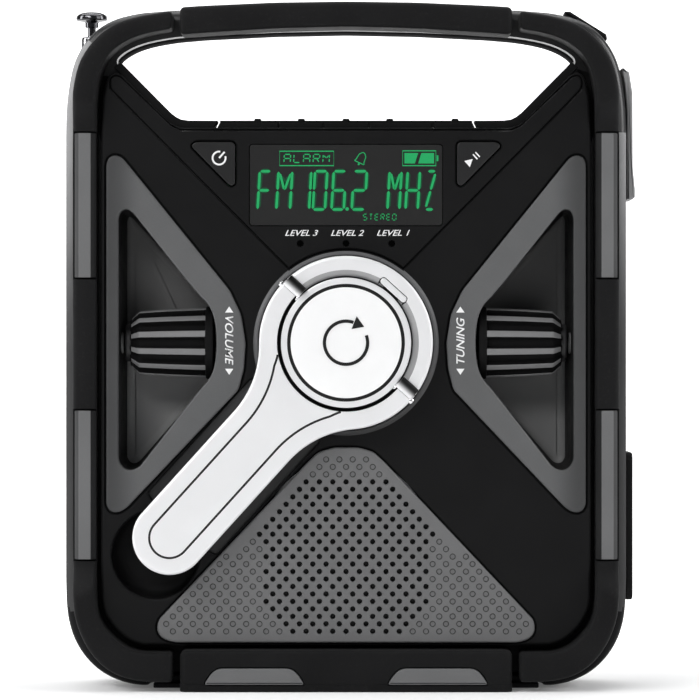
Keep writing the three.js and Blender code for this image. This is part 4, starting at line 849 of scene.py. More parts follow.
outer, inner = bumper_lines()
for s, side in ((-1, "left"), (1, "right")):
    m = swept(side + "_bumper_moulding", flip(outer, s), flip(inner, s), bumper_front, FLANGE_Y - GAP, 1.5, 1.2)
    for z0, z1 in ((114.3, 155.5), (36, 78.4)):
        x0, x1 = sorted((s * 67, s * 80))
        m = cut(m, box("t", x0, x1, -24, -18.6, z0, z1))
    place(m, "casing", "bumper_rubber", M["rubber"], side + "_bumper")
    for z0, z1, where in ((114.3, 155.5, "upper"), (36, 78.4, "lower")):
        prof = [(69.45, -18.7), (69.45, -19.35), (69.6, -19.65), (70.7, -20.85), (70.95, -21.0), (71.3, -21.04), (74.0, -21.04), (74.3, -21.0), (74.5, -20.85), (75.35, -19.6), (75.45, -19.3), (75.45, -18.7)]
        m = loft(f"{side}_{where}_bumper_insert", flip(prof, s), [(0.3, z0 + 0.5), (0.1, z0 + 0.58), (0, z0 + 0.8), (0, z1 - 0.8), (0.1, z1 - 0.58), (0.3, z1 - 0.5)], "xy")
        place(m, "casing", "grey_rubber", M["insert"], f"{side}_{where}_insert", angle=25)
        m.data.materials.append(M["insert_inner_side_painted_shade"])
        m.data.materials.append(M["insert_outer_side_painted_shade"])
        # sloped sides take the darker painted-shade tones, the inner side darker than the outer
        for p in m.data.polygons:
            if p.normal.y > -0.9:
                p.material_index = 1 if p.normal.x * s < 0 else 2

grip_top = smooth([(46, 189.6), (40, 190), (20, 190.9), (0, 191.2), (-20, 190.9), (-40, 190), (-46, 189.6)], 6, 2, closed=False)
grip_low = smooth([(46, 182.0), (40, 182.4), (20, 183.7), (0, 184.2), (-20, 183.7), (-40, 182.4), (-46, 182.0)], 6, 2, closed=False)
m = swept("handle_grip_moulding", resample(grip_top, 90), resample(grip_low, 90), lambda o, c: CORNER_Y - 0.2, FLANGE_Y - GAP, 1.7, 1.5, 0.3, 1.2)
place(m, "casing", "bumper_rubber", M["rubber"], "handle_grip")

low = resample([(46, 1.9), (-46, 1.9)], 60)
high = resample([(46, 11.6), (-46, 11.6)], 60)
m = swept("bottom_bumper_moulding", low, high, lambda o, c: CORNER_Y, FLANGE_Y - GAP, 0.8, 1.1, 0.25, 1.7)
lip = loft("t", smooth([(-46, -24.6), (-44.5, -25.7), (44.5, -25.7), (46, -24.6), (46, -10.5), (-46, -10.5)], 0.8, 2), rim(0.0, 2.6, 0.5, 0.0), "xy")
m = add(m, lip)
foot = [(39.2, 2.1), (11.6, 2.1), (12.4, 3.6), (13.6, 5.2), (14.8, 6.2), (16.2, 6.6), (34.6, 6.6), (36, 6.2), (37.2, 5.2), (38.4, 3.6)]
foot_s = smooth(foot, 1.4, 2)
for s in (-1, 1):
    m = cut(m, loft("t", flip(foot_s, s), [(-0.4, CORNER_Y - 2), (-0.4, CORNER_Y + 0.1), (-0.3, CORNER_Y + 0.3), (-0.3, -22.6)]))
place(m, "casing", "bumper_rubber", M["rubber"], "bottom_bumper")
for s, side in ((-1, "left"), (1, "right")):
    m = loft(side + "_foot_moulding", flip(foot_s, s), [(0.35, CORNER_Y - 0.35), (0.1, CORNER_Y - 0.27), (0, CORNER_Y - 0.05), (0, -22.9)])
    place(m, "casing", "grey_rubber", M["insert"], side + "_foot_insert")

# ================================================================ display, buttons and keys
m = loft("display_panel_moulding", display_s, [(0.5, FACE_Y - 0.2), (0.28, FACE_Y - 0.17), (0, FACE_Y + 0.12), (0, FACE_Y + 1.7)])
m = cut(m, loft("t", rounded(-26.9, 129.2, 26.9, 151.9, 1), [(-0.15, -21), (-0.15, FACE_Y - 0.2), (0, FACE_Y), (0, -10)]),
        *[loft("t", flip(button_s, s), [(-0.65, -21), (-0.65, FACE_Y - 0.22), (-0.3, FACE_Y + 0.15), (-0.3, -10)]) for s in (-1, 1)],
        *[loft("t", disc(x, 124.3, 0.82, 32), [(-0.2, -21), (-0.2, FACE_Y - 0.22), (0, FACE_Y), (0, -10)]) for x in (-12.7, 0, 12.7)])
place(m, "casing", "black_plastic", M["black"], "display_panel")
m.data.materials.append(M["edge"])
# up-facing bevels along the top take the painted highlight
for p in m.data.polygons:
    c = p.center / MM
    if p.normal.z > 0.25 and -0.98 < p.normal.y < -0.1 and (c.z > 155 or (abs(c.x) > 46 and c.z > abs(c.x) + 105)):
        p.material_index = 1
m = loft("display_lens", rounded(-26.75, 129.35, 26.75, 151.75, 0.9), rim(FACE_Y - 0.12, FACE_Y + 1.3, 0.12, 0.0, 2))
place(m, "casing", "screen", M["screen"], "display_window")
for s, name in ((1, "power"), (-1, "play")):
    m = loft(name + "_button_cap", flip(offset(button_s, -0.05), s), rim(FACE_Y - 0.35, -14.5, 0.3, 0.0, 3))
    place(m, name, "dark_plastic", M["button"], name + "_button")

# ---------------------------------------------------------------- top keys
LABEL_X = (-24.7, -12.5, 0, 12.2, 30.5)
for (x0, x1), xc, name in zip(TOP_KEYS, LABEL_X, ("band_key", "alert_key", "memory_key", "clock_key", "beacon_key")):
    first, last = name == "band_key", name == "beacon_key"
    base = rounded(x0 - (0 if first else 0.27), -16, x1 + (0 if last else 0.27), -6.2, 0.5, 4)
    m = loft(name + "_cap", base, [(0, 155.1), (0, 157.85), (0.06, 158.0), (0.2, 158.1)], "xy")
    nub = loft("t", rounded(xc - 1.0, -12.1, xc + 1.0, -9.9, 0.6, 4), [(0, 157.6), (0.04, 159.15), (0.2, 159.36), (0.45, 159.42)], "xy")
    m = add(m, nub)
    m = cut(m, *[box("t", x0 + 1.2 + i * 1.5, x0 + 1.75 + i * 1.5, -15.0, -13.6, 157.9, 160) for i in range(int((x1 - x0 - 2.2) / 1.5))])
    if first or last:
        e = -1 if first else 1
        m = cut(m, loft("t", [(e * 36.3, 155.8), (e * 35.15, 158.2), (e * 35.15, 160), (e * 40, 160), (e * 40, 155.8)], [(0, -20), (0, 0)]))
    place(m, name.replace("_key", ""), "bumper_rubber", M["rubber"], name)

# lamp key along the upper right shoulder, with grip ridges across it
key = smooth([(61.7, 190.2), (63.2, 190.2), (73.4, 183.8), (73.7, 182.4), (71.3, 179.5), (60.9, 186.1)], 0.5, 2)
m = loft("lamp_key_cap", key, [(0.5, -1.0), (0.15, -0.85), (0, -0.5), (0, 8.5), (0.15, 8.85), (0.5, 9.0)])
kx, kz = 73.4 - 63.2, 183.8 - 190.2
kl = math.hypot(kx, kz)
ridges = []
for i in range(9):
    t = 0.12 + 0.76 * i / 8
    px, pz = 63.2 + kx * t, 190.2 + kz * t
    w = [(px + kx / kl * a - kz / kl * b, pz + kz / kl * a + kx / kl * b) for a, b in ((-0.28, -0.35), (0.28, -0.35), (0.28, 1.5), (-0.28, 1.5))]
    ridges.append(loft("t", w, [(0, 0.2), (0, 7.8)]))
m = cut(m, *ridges)
place(m, "lamp", "bumper_rubber", M["rubber"], "lamp_key")

# indicator lights in their holes: one clear moulding behind, its lenses flush with the panel
lenses = [lathe("t", [(0, 0), (0.62, 0.04), (0.76, 0.2), (0.76, 5.6), (0, 5.6)], (x, FACE_Y - 0.16, 124.3), (0, 1, 0), 32) for x in (-12.7, 0, 12.7)]
place(merge("indicator_lenses", lenses), "casing", "clear_plastic", M["clear"])

# ---------------------------------------------------------------- speaker grille
m = loft("speaker_grille_moulding", grille_s, [(0.5, FACE_Y - 0.6), (0.2, FACE_Y - 0.52), (0, FACE_Y - 0.25), (0, FACE_Y + 2)])
through, dimple = [], []
PITCH_X, PITCH_Z, ROW0_Z = 3.70, 2.077, 64.3
for row in range(24):
    z = ROW0_Z - PITCH_Z * row
    for k in range(-16, 17):
        x = PITCH_X * (k + (0.5 if row % 2 == 0 else 0.0))
        inside = True
        margin = 1.5
        for i, p in enumerate(grille_s):
            q = grille_s[(i + 1) % len(grille_s)]
            length = math.dist(p, q) or 1e-9
            sgn = 1 if area2(grille_s) > 0 else -1
            d = sgn * ((q[0] - p[0]) * (z - p[1]) - (q[1] - p[1]) * (x - p[0])) / length
            if d < margin:
                inside = False
                break
        if not inside:
            continue
        limit = -1
        if 3 <= row <= 10:
            limit = 99
        elif 11 <= row <= 19:
            limit = 23.2
        elif row >= 20:
            limit = (20.6, 18.7, 16.9, 15.1)[row - 20]
        (through if abs(x) <= limit else dimple).append((x, z))


def holes(name, spots, levels, n=16):
    """One mesh of many separate cutters; levels are (radius, y)."""
    bm = bmesh.new()
    for x, z in spots:
        rows = [[bm.verts.new(((x + r * math.cos(2 * math.pi * i / n)), y, (z + r * math.sin(2 * math.pi * i / n)))) for i in range(n)] for r, y in levels]
        for a, b in zip(rows, rows[1:]):
            for i in range(n):
                bm.faces.new((a[i], a[(i + 1) % n], b[(i + 1) % n], b[i]))
        bm.faces.new(rows[0])
        bm.faces.new(list(reversed(rows[-1])))
    bmesh.ops.recalc_face_normals(bm, faces=bm.faces)
    bmesh.ops.triangulate(bm, faces=[f for f in bm.faces if len(f.verts) > 4], ngon_method="EAR_CLIP")
    me = bpy.data.meshes.new(name)
    bm.to_mesh(me)
    bm.free()
    return link(name, me)


TOPY = FACE_Y - 0.6
m = cut(m, holes("t", through, [(0.86, TOPY - 1), (0.86, TOPY - 0.01), (0.78, TOPY + 0.05), (0.73, TOPY + 0.3), (0.72, -17)]))
m = cut(m, holes("t", dimple, [(0.86, TOPY - 1), (0.86, TOPY - 0.01), (0.62, TOPY + 0.3)]))
place(m, "casing", "grey_plastic", M["grille"], "speaker_grille", angle=50)
m.data.materials.append(M["dimple"])
near = {(i, j) for x, z in dimple for i in range(int(4 * (x + 99)), int(4 * (x + 101)) + 1) for j in range(int(4 * (z - 1)), int(4 * (z + 1)) + 1)}
# dimple walls take the darker tone as painted shade
for p in m.data.polygons:
    c = p.center / MM
    if p.normal.y > -0.97 and TOPY - 0.01 < c.y < TOPY + 0.29 and (int(4 * (c.x + 100)), int(4 * c.z)) in near:
        p.material_index = 1
cloth = loft("speaker_dust_cloth", offset(grille_s, -1.2), [(0, FACE_Y + 2.05), (0, FACE_Y + 2.2)])
place(cloth, "casing", "dark_plastic", M["dark_print_and_painted_shade"])

# ---------------------------------------------------------------- knobs in their wells
for name, s in (("volume", -1), ("tuning", 1)):
    m = loft(name + "_bezel_moulding", flip(bezel_s, s), [(0.55, FACE_Y - 0.7), (0.22, FACE_Y - 0.62), (0, FACE_Y - 0.36), (0, FACE_Y + 1.1)])
    m = cut(m, loft("t", flip(bezel_in_s, s), [(-0.4, FACE_Y - 2), (-0.4, FACE_Y - 0.7), (-0.2, FACE_Y - 0.62), (-0.05, FACE_Y - 0.4), (0, FACE_Y), (0, 0)]))
    # the bezel's grey darkens towards the outer edge as painted shade
    place(m, "casing", "grey_plastic", M["grey"], name + "_bezel")

    def ring_at(x, r, depth=0.2, flute=1.0):
        pts = []
        for i in range(12):
            a0 = 15 + 30 * i
            for da, k in ((-5.3, 0.985), (-4.6, 0.998), (-2.0, 1.0), (2.0, 1.0), (4.6, 0.998), (5.3, 0.985), (6.0, 0.94), (6.8, 1 - depth * 0.85),
                          (8.4, 1 - depth), (13, 1 - depth), (17, 1 - depth), (21.6, 1 - depth), (23.2, 1 - depth * 0.85), (24.0, 0.94)):
                kk = 1 - (1 - k) * flute
                t = math.radians(a0 + da)
                pts.append((s * x, (KNOB_Y + r * kk * math.cos(t)), (HUB_Z + r * kk * math.sin(t))))
        return pts

    m = skin(name + "_knob_moulding", [ring_at(38.9, 9.97), ring_at(39.2, 9.95), ring_at(44, 9.78), ring_at(50, 9.5), ring_at(57.2, 9.03), ring_at(57.65, 8.95), ring_at(58.0, 8.72),
                                       ring_at(59.9, 6.85), ring_at(60.15, 6.5), ring_at(60.3, 6.1)])
    m = add(m, lathe("t", [(0, 0), (9.5, 0), (9.95, 0.12), (10.13, 0.4), (10.13, 2.0), (9.95, 2.28), (9.5, 2.4), (0, 2.4)], (s * 36.9, KNOB_Y, HUB_Z), (s, 0, 0), 96),
            lathe("t", [(0, 0), (5.25, 0), (5.25, 1.7), (5.05, 2.05), (4.7, 2.2), (0, 2.2)], (s * 59.5, KNOB_Y, HUB_Z), (s, 0, 0), 64),
            rod("t", 2.5, (s * 31.2, KNOB_Y, HUB_Z), (s, 0, 0), 7, 32))
    place(m, name, "dark_plastic", M["knob"], name + "_knob", angle=26)
    m.data.materials.append(M["groove"])
    m.data.materials.append(M["rib"])
    # rib tops take the painted highlight; flute valleys and the collar take the near-black painted shade
    for p in m.data.polygons:
        c = p.center / MM
        r = math.hypot(c.y - KNOB_Y, c.z - HUB_Z)
        x = abs(c.x)
        phase = math.degrees(math.atan2(c.z - HUB_Z, c.y - KNOB_Y)) % 30 - 15
        if 39.4 < x < 60.4 and r > 5.3:
            p.material_index = 2 if abs(phase) < 5.4 and x < 60 else 1
        elif x < 39.4:
            p.material_index = 1

# ================================================================ crank
sgn_v = (V[0], 0, V[1])


def uslab(name, pts, y0, y1):
    return loft(name, [uv(u, v) for u, v in pts], [(0, y0), (0, y1)])


def half_plane(u0, u1):
    return [(u0, -40), (u1, -40), (u1, 40), (u0, 40)]


def barrel_grooves(r):
    out = []
    for s in (1, -1):
        a = uv(HINGE_U, s * 18.0)
        out.append(rod("t", r, (a[0], HINGE_Y, a[1]), (s * V[0], 0, s * V[1]), 7.6, 64))
    return out


EDGE = [(0.8, ARM_FRONT), (0.5, ARM_FRONT + 0.04), (0.24, ARM_FRONT + 0.22), (0.06, ARM_FRONT + 0.5), (0, ARM_FRONT + 0.85)]
m = loft("crank_rotor_casting", disc(0, HUB_Z, RING_R, 160), [*EDGE, (0, -21.3), (0.4, -20.6)])
m = cut(m, uslab("t", half_plane(HINGE_U - 0.15, 60), -40, -10), loft("t", disc(0, HUB_Z, COLLAR_R + 0.3, 128), [(-1.7, -40), (-1.7, ARM_FRONT), (0, ARM_FRONT + 1.3), (0, -10)]))
m = add(m, loft("t", disc(0, HUB_Z, RING_R - 0.2, 160), [(0, -20.9), (0, -18.2)]),
        lathe("t", [(0, 0), (COLLAR_R - 0.1, 0), (COLLAR_R - 0.1, 9.1), (COLLAR_R - 0.2, 9.32), (COLLAR_R - 0.45, 9.4), (0, 9.4)], (0, -20, HUB_Z), (0, -1, 0), 128))
m = cut(m, loft("t", disc(0, HUB_Z, 16.25, 128), [(-0.1, -40), (-0.1, -29.4), (0, -29.32), (0, -28.6)]), *barrel_grooves(BARREL_R + 0.12),
        loft("t", [uv(u, v) for u, v in rounded(-20.65, -4.75, -18.45, 4.75, 1.0, 5)], [(-0.15, -40), (-0.15, ARM_FRONT), (0, ARM_FRONT + 0.15), (0, ARM_FRONT + 1.2)]))
m = add(m, rod("t", 3, (0, -18.5, HUB_Z), (0, 1, 0), 20.4, 48), box("t", -2, 2, 1.5, 5.6, HUB_Z - 2, HUB_Z + 2))
place(m, "crank", "silver", M["silver"], "crank_rotor", angle=30)
m.data.materials.append(M["dark_print_and_painted_shade"])
m.data.materials.append(M["silver_dim"])
# painted shade: the seat round the cap, the floor under the arm, the walls by the collar and round the latch slot are
# made near-black
for p in m.data.polygons:
    c = p.center / MM
    r = math.hypot(c.x, c.z - HUB_Z)
    u = c.x * U[0] + (c.z - HUB_Z) * U[1]
    if (14 < r < 16.3 and c.y > -29.3) or (abs(c.y + 20.9) < 0.05 and r > COLLAR_R - 0.2 and p.normal.y < -0.5) or (COLLAR_R - 0.2 < r < 19.2 and c.y > -29.15 and c.y < -20.8 and not (p.normal.y < -0.2 and r > COLLAR_R + 0.35)):
        p.material_index = 1
    elif -20.75 < u < -18.3 and abs(c.x * V[0] + (c.z - HUB_Z) * V[1]) < 4.9 and c.y > ARM_FRONT + 0.12 and r < 21.3:
        p.material_index = 1
    # the ring-side inner chamfer takes the darker silver as painted shade and reflection
    elif r > COLLAR_R + 0.25 and r < 20.2 and ARM_FRONT + 0.03 < c.y < ARM_FRONT + 1.35 and p.normal.y < -0.2 and u < HINGE_U - 0.2:
        p.material_index = 2

m = loft("latch_pill", [uv(u, v) for u, v in rounded(-20.47, -4.55, -18.65, 4.55, 0.88, 6)], rim(ARM_FRONT + 0.1, ARM_FRONT + 0.9, 0.3, 0, 3))
place(m, "crank", "bumper_rubber", M["silver"], "arm_rest_pad")
m = lathe("crank_cap_disc", [(0, 0), (15.2, 0), (15.3, 0.1), (15.3, 1.15), (15.25, 1.3), (15.1, 1.4), (12, 1.52), (6, 1.62), (0, 1.66)], (0, -28.8, HUB_Z), (0, -1, 0), 160)
place(m, "crank", "white_plastic", M["white"], "crank_cap")

# a near-black ring laid in the gap round the cap, as painted shade of the gap
m = lathe("crank_cap_gap_painted_shade", [(15.32, 0), (16.24, 0), (16.24, 0.5), (15.8, 0.56), (15.32, 0.5), (15.32, 0)], (0, -28.65, HUB_Z), (0, -1, 0), 160)
place(m, "crank", "bumper_rubber", M["dark_print_and_painted_shade"])

# turn-direction arrow on the cap: an open ring with a head
pts_out = arc(0, HUB_Z, 6.4, 70, 380, 60)
pts_in = arc(0, HUB_Z, 5.5, 380, 70, 60)
arrow_ring = loft("t", pts_out + pts_in, [(0, -30.56), (0, -30.42)])
ha = math.radians(68)
hx, hz = 5.95 * math.cos(ha), HUB_Z + 5.95 * math.sin(ha)
tx, tz = math.sin(ha), -math.cos(ha)
head = [(hx + tx * 3.0, hz + tz * 3.0), (hx + math.cos(ha) * 1.9, hz + math.sin(ha) * 1.9), (hx - math.cos(ha) * 1.9, hz - math.sin(ha) * 1.9)]
arrow_head = loft("t", head, [(0, -30.56), (0, -30.42)])
place(merge("turn_arrow", [arrow_ring, arrow_head]), "crank", "dark_plastic", M["dark_print_and_painted_shade"], smooth_it=False)

for s, where in ((1, "lower"), (-1, "upper")):
    a = uv(HINGE_U, s * 18.1)
    R = BARREL_R
    m = lathe(where + "_hinge_pin", [(0, 0), (R - 0.35, 0), (R - 0.1, 0.08), (R, 0.3), (R, 5.3), (R - 0.1, 5.52), (R - 0.35, 5.6), (0, 5.6)], (a[0], HINGE_Y, a[1]), (s * V[0], 0, s * V[1]), 96)
    # the barrel's dark-to-bright tone is a painted reflection
    place(m, "crank", "chrome", M["hinge"], where + "_hinge_barrel")
    ends = []
    for v0, v1 in ((17.95, 18.6), (23.3, 24.65)):
        a = uv(-0.1, s * v0)
        ends.append(lathe("t", [(0, 0), (0.75, 0), (0.92, 0.06), (1.0, 0.2), (1.0, v1 - v0 - 0.2), (0.92, v1 - v0 - 0.06), (0.75, v1 - v0), (0, v1 - v0)], (a[0], -28.75, a[1]), (s * V[0], 0, s * V[1]), 32))
    place(merge(where + "_pin_ends", ends), "arm", "chrome", M["chrome"])

fc = (math.sqrt((RING_R + FILLET_R) ** 2 - (ARM_R + FILLET_R) ** 2), ARM_R + FILLET_R)
fa = math.degrees(math.atan2(fc[1], fc[0]))
side_line = arc(0, 0, RING_R, 96, fa, 40) + arc(fc[0], fc[1], FILLET_R, 180 + fa, 270, 30)[1:] + arc(ARM_REACH, 0, ARM_R, 90, 0, 32)
arm_line = side_line + [(u, -v) for u, v in reversed(side_line[:-1])]
m = loft("crank_arm_casting", [uv(u, v) for u, v in arm_line], [*EDGE, (0, ARM_BACK - 0.8), (0.2, ARM_BACK - 0.25), (0.8, ARM_BACK)])
m = cut(m, loft("t", disc(0, HUB_Z, RING_IN + 0.45, 128), [(-0.1, -40), (-0.1, ARM_FRONT), (0, ARM_FRONT + 0.12), (0, 0)]), uslab("t", half_plane(-40, HINGE_U + 0.15), -40, 0),
        *barrel_grooves(BARREL_R + 0.12), loft("t", [uv(u, v) for u, v in rounded(43.5, -4.4, 77.6, 4.4, 1.2, 5)], [(0, -28.6), (0, -21.6), (-0.4, -21.1), (-0.4, 0)]))
pv = uv(PEG_U, -6.2)
m = cut(m, rod("t", 1.5, (pv[0], PEG_Y, pv[1]), sgn_v, 12.4, 32))
# the fine line round the arm's face, running into the gap of the hub
INSET = 4.7
gr = RING_R - INSET
line_side = []
f2 = FILLET_R + INSET
line_side += [(15.1, 11.75), (15.9, 11.3), (16.9, 10.83)]
for p in arc(fc[0], fc[1], f2, 238, 270, 32):
    line_side.append(p)
line_side += arc(ARM_REACH, 0, ARM_R - INSET, 90, 0, 24)
line_uv = line_side + [(u, -v) for u, v in reversed(line_side[:-1])]
line_xz = [uv(u, v) for u, v in line_uv]


def ribbon(name, pts, w, y0, y1, closed=False):
    """A thin bar of width w following a line on the face."""
    n = len(pts)
    left, right = [], []
    for i, p in enumerate(pts):
        a = pts[i - 1] if (i > 0 or closed) else p
        b = pts[(i + 1) % n] if (i < n - 1 or closed) else p
        l = math.dist(a, b) or 1e-9
        nx, nz = -(b[1] - a[1]) / l, (b[0] - a[0]) / l
        left.append((p[0] + nx * w / 2, p[1] + nz * w / 2))
        right.append((p[0] - nx * w / 2, p[1] - nz * w / 2))
    rings = [[(l[0], y0, l[1]), (r[0], y0, r[1]), (r[0], y1, r[1]), (l[0], y1, l[1])] for l, r in zip(left, right)]
    return skin(name, rings, close=closed, cap=not closed)


m = cut(m, ribbon("t", line_xz, 0.62, ARM_FRONT - 1, ARM_FRONT + 0.32))
place(m, "arm", "silver", M["silver"], "crank_arm", angle=30)
m.data.materials.append(M["dark_print_and_painted_shade"])
# painted shade: the arm's inner wall round the hub and the floor of its face groove are made near-black
for p in m.data.polygons:
    c = p.center / MM
    r = math.hypot(c.x, c.z - HUB_Z)
    if (r < RING_IN + 0.55 and c.y > ARM_FRONT + 0.1 and abs(p.normal.y) < 0.5) or ARM_FRONT + 0.1 < c.y < ARM_FRONT + 0.33 and r > RING_IN + 0.3 and abs(p.normal.y) > 0.9 and c.y > ARM_FRONT + 0.3:
        p.material_index = 1
# a dark strip laid in the arm's face groove, as painted shade of the groove
line_in = [q for q in line_xz if math.dist(q, (0, HUB_Z)) > RING_IN + 0.5]
place(ribbon("arm_groove_painted_shade", line_in, 0.6, ARM_FRONT + 0.05, ARM_FRONT + 0.3), "arm", "dark_plastic", M["dark_print_and_painted_shade"], smooth_it=False)

# the peg with its sleeve in the arm's back
peg_parts = [rod("t", 1.15, (*(lambda q: (q[0], PEG_Y, q[1]))(uv(PEG_U, -5.8)),), sgn_v, 11.6, 32, 0.15),
             lathe("t", [(0, 0), (2.9, 0), (3.2, 0.3), (3.2, 7.5), (2.9, 7.8), (0, 7.8)], (*(lambda q: (q[0], PEG_Y, q[1]))(uv(PEG_U, -3.9)),), sgn_v, 64)]
q = uv(PEG_U - 1, 0)
back_dir = (-U[0], 0, -U[1])
peg_parts.append(rod("t", 1.5, (q[0], PEG_Y, q[1]), back_dir, PEG_LEN - 1, 32))
q = uv(PEG_U - (PEG_LEN - 1), 0)
peg_parts.append(lathe("t", [(0, 0), (2.6, 0), (2.6, 0.7), (2.3, 1.0), (0, 1.0)], (q[0], PEG_Y, q[1]), back_dir, 48))
m = add(peg_parts[0], *peg_parts[1:])
place(m, "peg", "steel", M["steel"], "crank_peg")
q = uv(PEG_U - 4.4, 0)
prof = [(1.8, 0), (2.5, 0), (2.75, 0.15), (3.15, 0.7)]
for i in range(9):
    t = 2.0 + i * 2.0
    prof += [(3.08, t - 0.5), (2.86, t), (3.08, t + 0.5)]
prof += [(3.25, 20.2), (3.15, 20.8), (2.8, 21.2), (1.8, 21.2), (1.8, 0)]
m = lathe("peg_sleeve", prof, (q[0], PEG_Y, q[1]), back_dir, 64)
place(m, "grip", "dark_plastic", M["button"], "crank_grip")

# ================================================================ rear: battery door and solar panel
door = loft("battery_door_moulding", rounded(-35, 8, 35, 56, 2, 6), [(0.25, 24.3), (0, 24.55), (0, BACK_Y - 0.3), (0.15, BACK_Y + 0.05), (0.5, BACK_Y + 0.2)])
door = cut(door, loft("t", rounded(-9, 51.2, 9, 54.2, 1.2, 5), [(0, 25.2), (0, BACK_Y - 0.2), (-0.4, BACK_Y + 0.2), (-0.4, 30)]),
           *[loft("t", rounded(-28, z - 0.5, 28, z + 0.5, 0.45, 4), [(0, BACK_Y - 0.35), (-0.25, BACK_Y + 0.2), (-0.25, 30)]) for z in range(14, 46, 3)])
door = add(door, box("t", -30, 30, 23.5, 24.6, 51, 52.6, 0.15))
ar = [(0, 48.4), (2.2, 49.9), (-2.2, 49.9)]
door = cut(door, loft("t", [(0, 49.9), (-1.9, 48.5), (1.9, 48.5)], [(0, BACK_Y - 0.25), (0, 30)]))
place(door, "door", "black_plastic", M["door"], "battery_door")

frame_m = loft("solar_panel_frame", rounded(-46, 72, 46, 140, 2.5, 6), [(0.2, 24.9), (0, 25.1), (0, BACK_Y), (0.12, BACK_Y + 0.22), (0.4, BACK_Y + 0.3)])
frame_m = cut(frame_m, loft("t", rounded(-43.4, 74.6, 43.4, 137.4, 1.0, 4), [(0, 25.7), (0, BACK_Y), (-0.3, BACK_Y + 0.3), (-0.3, 30)]))
place(frame_m, "casing", "black_plastic", M["black"], "solar_panel")
cells, bars = [], []
nx, nz_ = 6, 2
for i in range(nx):
    for j in range(nz_):
        cx0 = -42.9 + i * (85.8 / nx) + 0.35
        cx1 = -42.9 + (i + 1) * (85.8 / nx) - 0.35
        cz0 = 75.1 + j * (61.8 / nz_) + 0.35
        cz1 = 75.1 + (j + 1) * (61.8 / nz_) - 0.35
        c = 1.3
        cell = [(cx0 + c, cz0), (cx1 - c, cz0), (cx1, cz0 + c), (cx1, cz1 - c), (cx1 - c, cz1), (cx0 + c, cz1), (cx0, cz1 - c), (cx0, cz0 + c)]
        cells.append(loft("t", cell, [(0, 25.72), (0, 25.9), (0.08, 25.95)]))
        for f in (0.28, 0.72):
            bx = cx0 + (cx1 - cx0) * f
            bars.append(loft("t", rect(bx - 0.35, cz0 + 0.5, bx + 0.35, cz1 - 0.5), [(0, 25.93), (0, 26.0)]))
        for k in range(1, 15):
            fz = cz0 + (cz1 - cz0) * k / 15
            bars.append(loft("t", rect(cx0 + 0.6, fz - 0.05, cx1 - 0.6, fz + 0.05), [(0, 25.93), (0, 25.98)]))
place(merge("solar_cells", cells), "casing", "solar_cell", M["solar"])
place(merge("solar_busbars", bars), "casing", "solar_cell", M["bus"], smooth_it=False)

# ================================================================ side covers
up = [(78.95, 137), (78.95, 162), (78.3, 169.4), (77.5, 174), (79.6, 172.8), (80.5, 167), (80.6, 146), (81.2, 140), (81.2, 137.6), (80.4, 137)]
m = loft("upper_port_cover_flap", smooth(up, 0.4, 2), [(0.35, -6.0), (0.1, -5.85), (0, -5.5), (0, 13.0), (0.1, 13.35), (0.35, 13.5)])
m = cut(m, *[box("t", 80.35, 82, y - 0.3, y + 0.3, 148.0, 163.5) for y in (-3.2, -1.6, 0, 1.6, 3.2, 4.8, 6.4, 8.0, 9.6, 11.2)])
# the cover's lighter grey is painted light against the shade it sits in
place(m, "upper_cover", "grey_rubber", M["cover"], "upper_port_cover")
m = loft("lower_port_cover_flap", [(a, b) for a, b in rounded(-5, 24.4, 14, 65.9, 2.2, 6)], [(0, 78.95), (0, 80.1), (0.12, 80.4), (0.45, 80.6)], "yz")
m = cut(m, loft("t", rounded(-3.4, 26, 12.4, 64.3, 1.4, 5), [(0, 80.35), (-0.2, 80.65), (-0.2, 83)], "yz"))
m = add(m, *[box("t", 80.0, 80.58, y - 0.45, y + 0.45, 31, 59.4, 0.18) for y in (-1.4, 0.8, 3.0, 5.2, 7.4, 9.6)])
m = add(m, box("t", 80.0, 80.6, -4.6, -3.2, 41, 49, 0.2))
place(m, "lower_cover", "bumper_rubber", M["rubber"], "lower_port_cover")

# ================================================================ antenna
X = ANT_X
kn = lathe("antenna_swivel_joint", [(0, 0), (2.1, 0), (2.1, 4.2), (4.0, 4.2), (4.2, 4.4), (4.2, 5.6), (4.0, 5.8), (0, 5.8)], (X, 12.4, ANT_Z), (0, 1, 0), 64)
for a0, a1 in ((-3.9, -2.4), (2.4, 3.9)):
    cheek = loft("t", [(18, ANT_Z - 2.6), (ANT_Y + 0.6, ANT_Z - 2.6), *arc(ANT_Y + 0.8, ANT_Z, 2.6, -90, 90, 12), (ANT_Y + 0.6, ANT_Z + 2.6), (18, ANT_Z + 2.6)], [(0.25, X + a0), (0, X + a0 + 0.25), (0, X + a1 - 0.25), (0.25, X + a1)], "yz")
    kn = add(kn, cheek)
kn = add(kn, lathe("t", [(0, 0), (1.3, 0), (1.3, 0.3), (1.0, 0.5), (0, 0.5)], (X - 3.9, ANT_Y, ANT_Z), (-1, 0, 0), 32), lathe("t", [(0, 0), (1.3, 0), (1.3, 0.3), (1.0, 0.5), (0, 0.5)], (X + 3.9, ANT_Y, ANT_Z), (1, 0, 0), 32))
place(kn, "swivel", "chrome", M["tube"], "antenna_swivel")
upv = (0, 0, 1)
t1 = lathe("antenna_lower_stage", [(2.3, 0), (2.8, 0.05), (3.0, 0.5), (3.0, 126.6), (2.9, 127.1), (2.7, 127.35), (2.3, 127.4), (2.3, 0)], (X, ANT_Y, ANT_Z + 5), upv, 64)
t1 = add(t1, rod("t", 2.0, (X - 2.1, ANT_Y, ANT_Z), (1, 0, 0), 4.2, 32), rod("t", 1.9, (X, ANT_Y, ANT_Z), upv, 5.4, 32), rod("t", 2.8, (X, ANT_Y, ANT_Z + 4.9), upv, 2, 48))
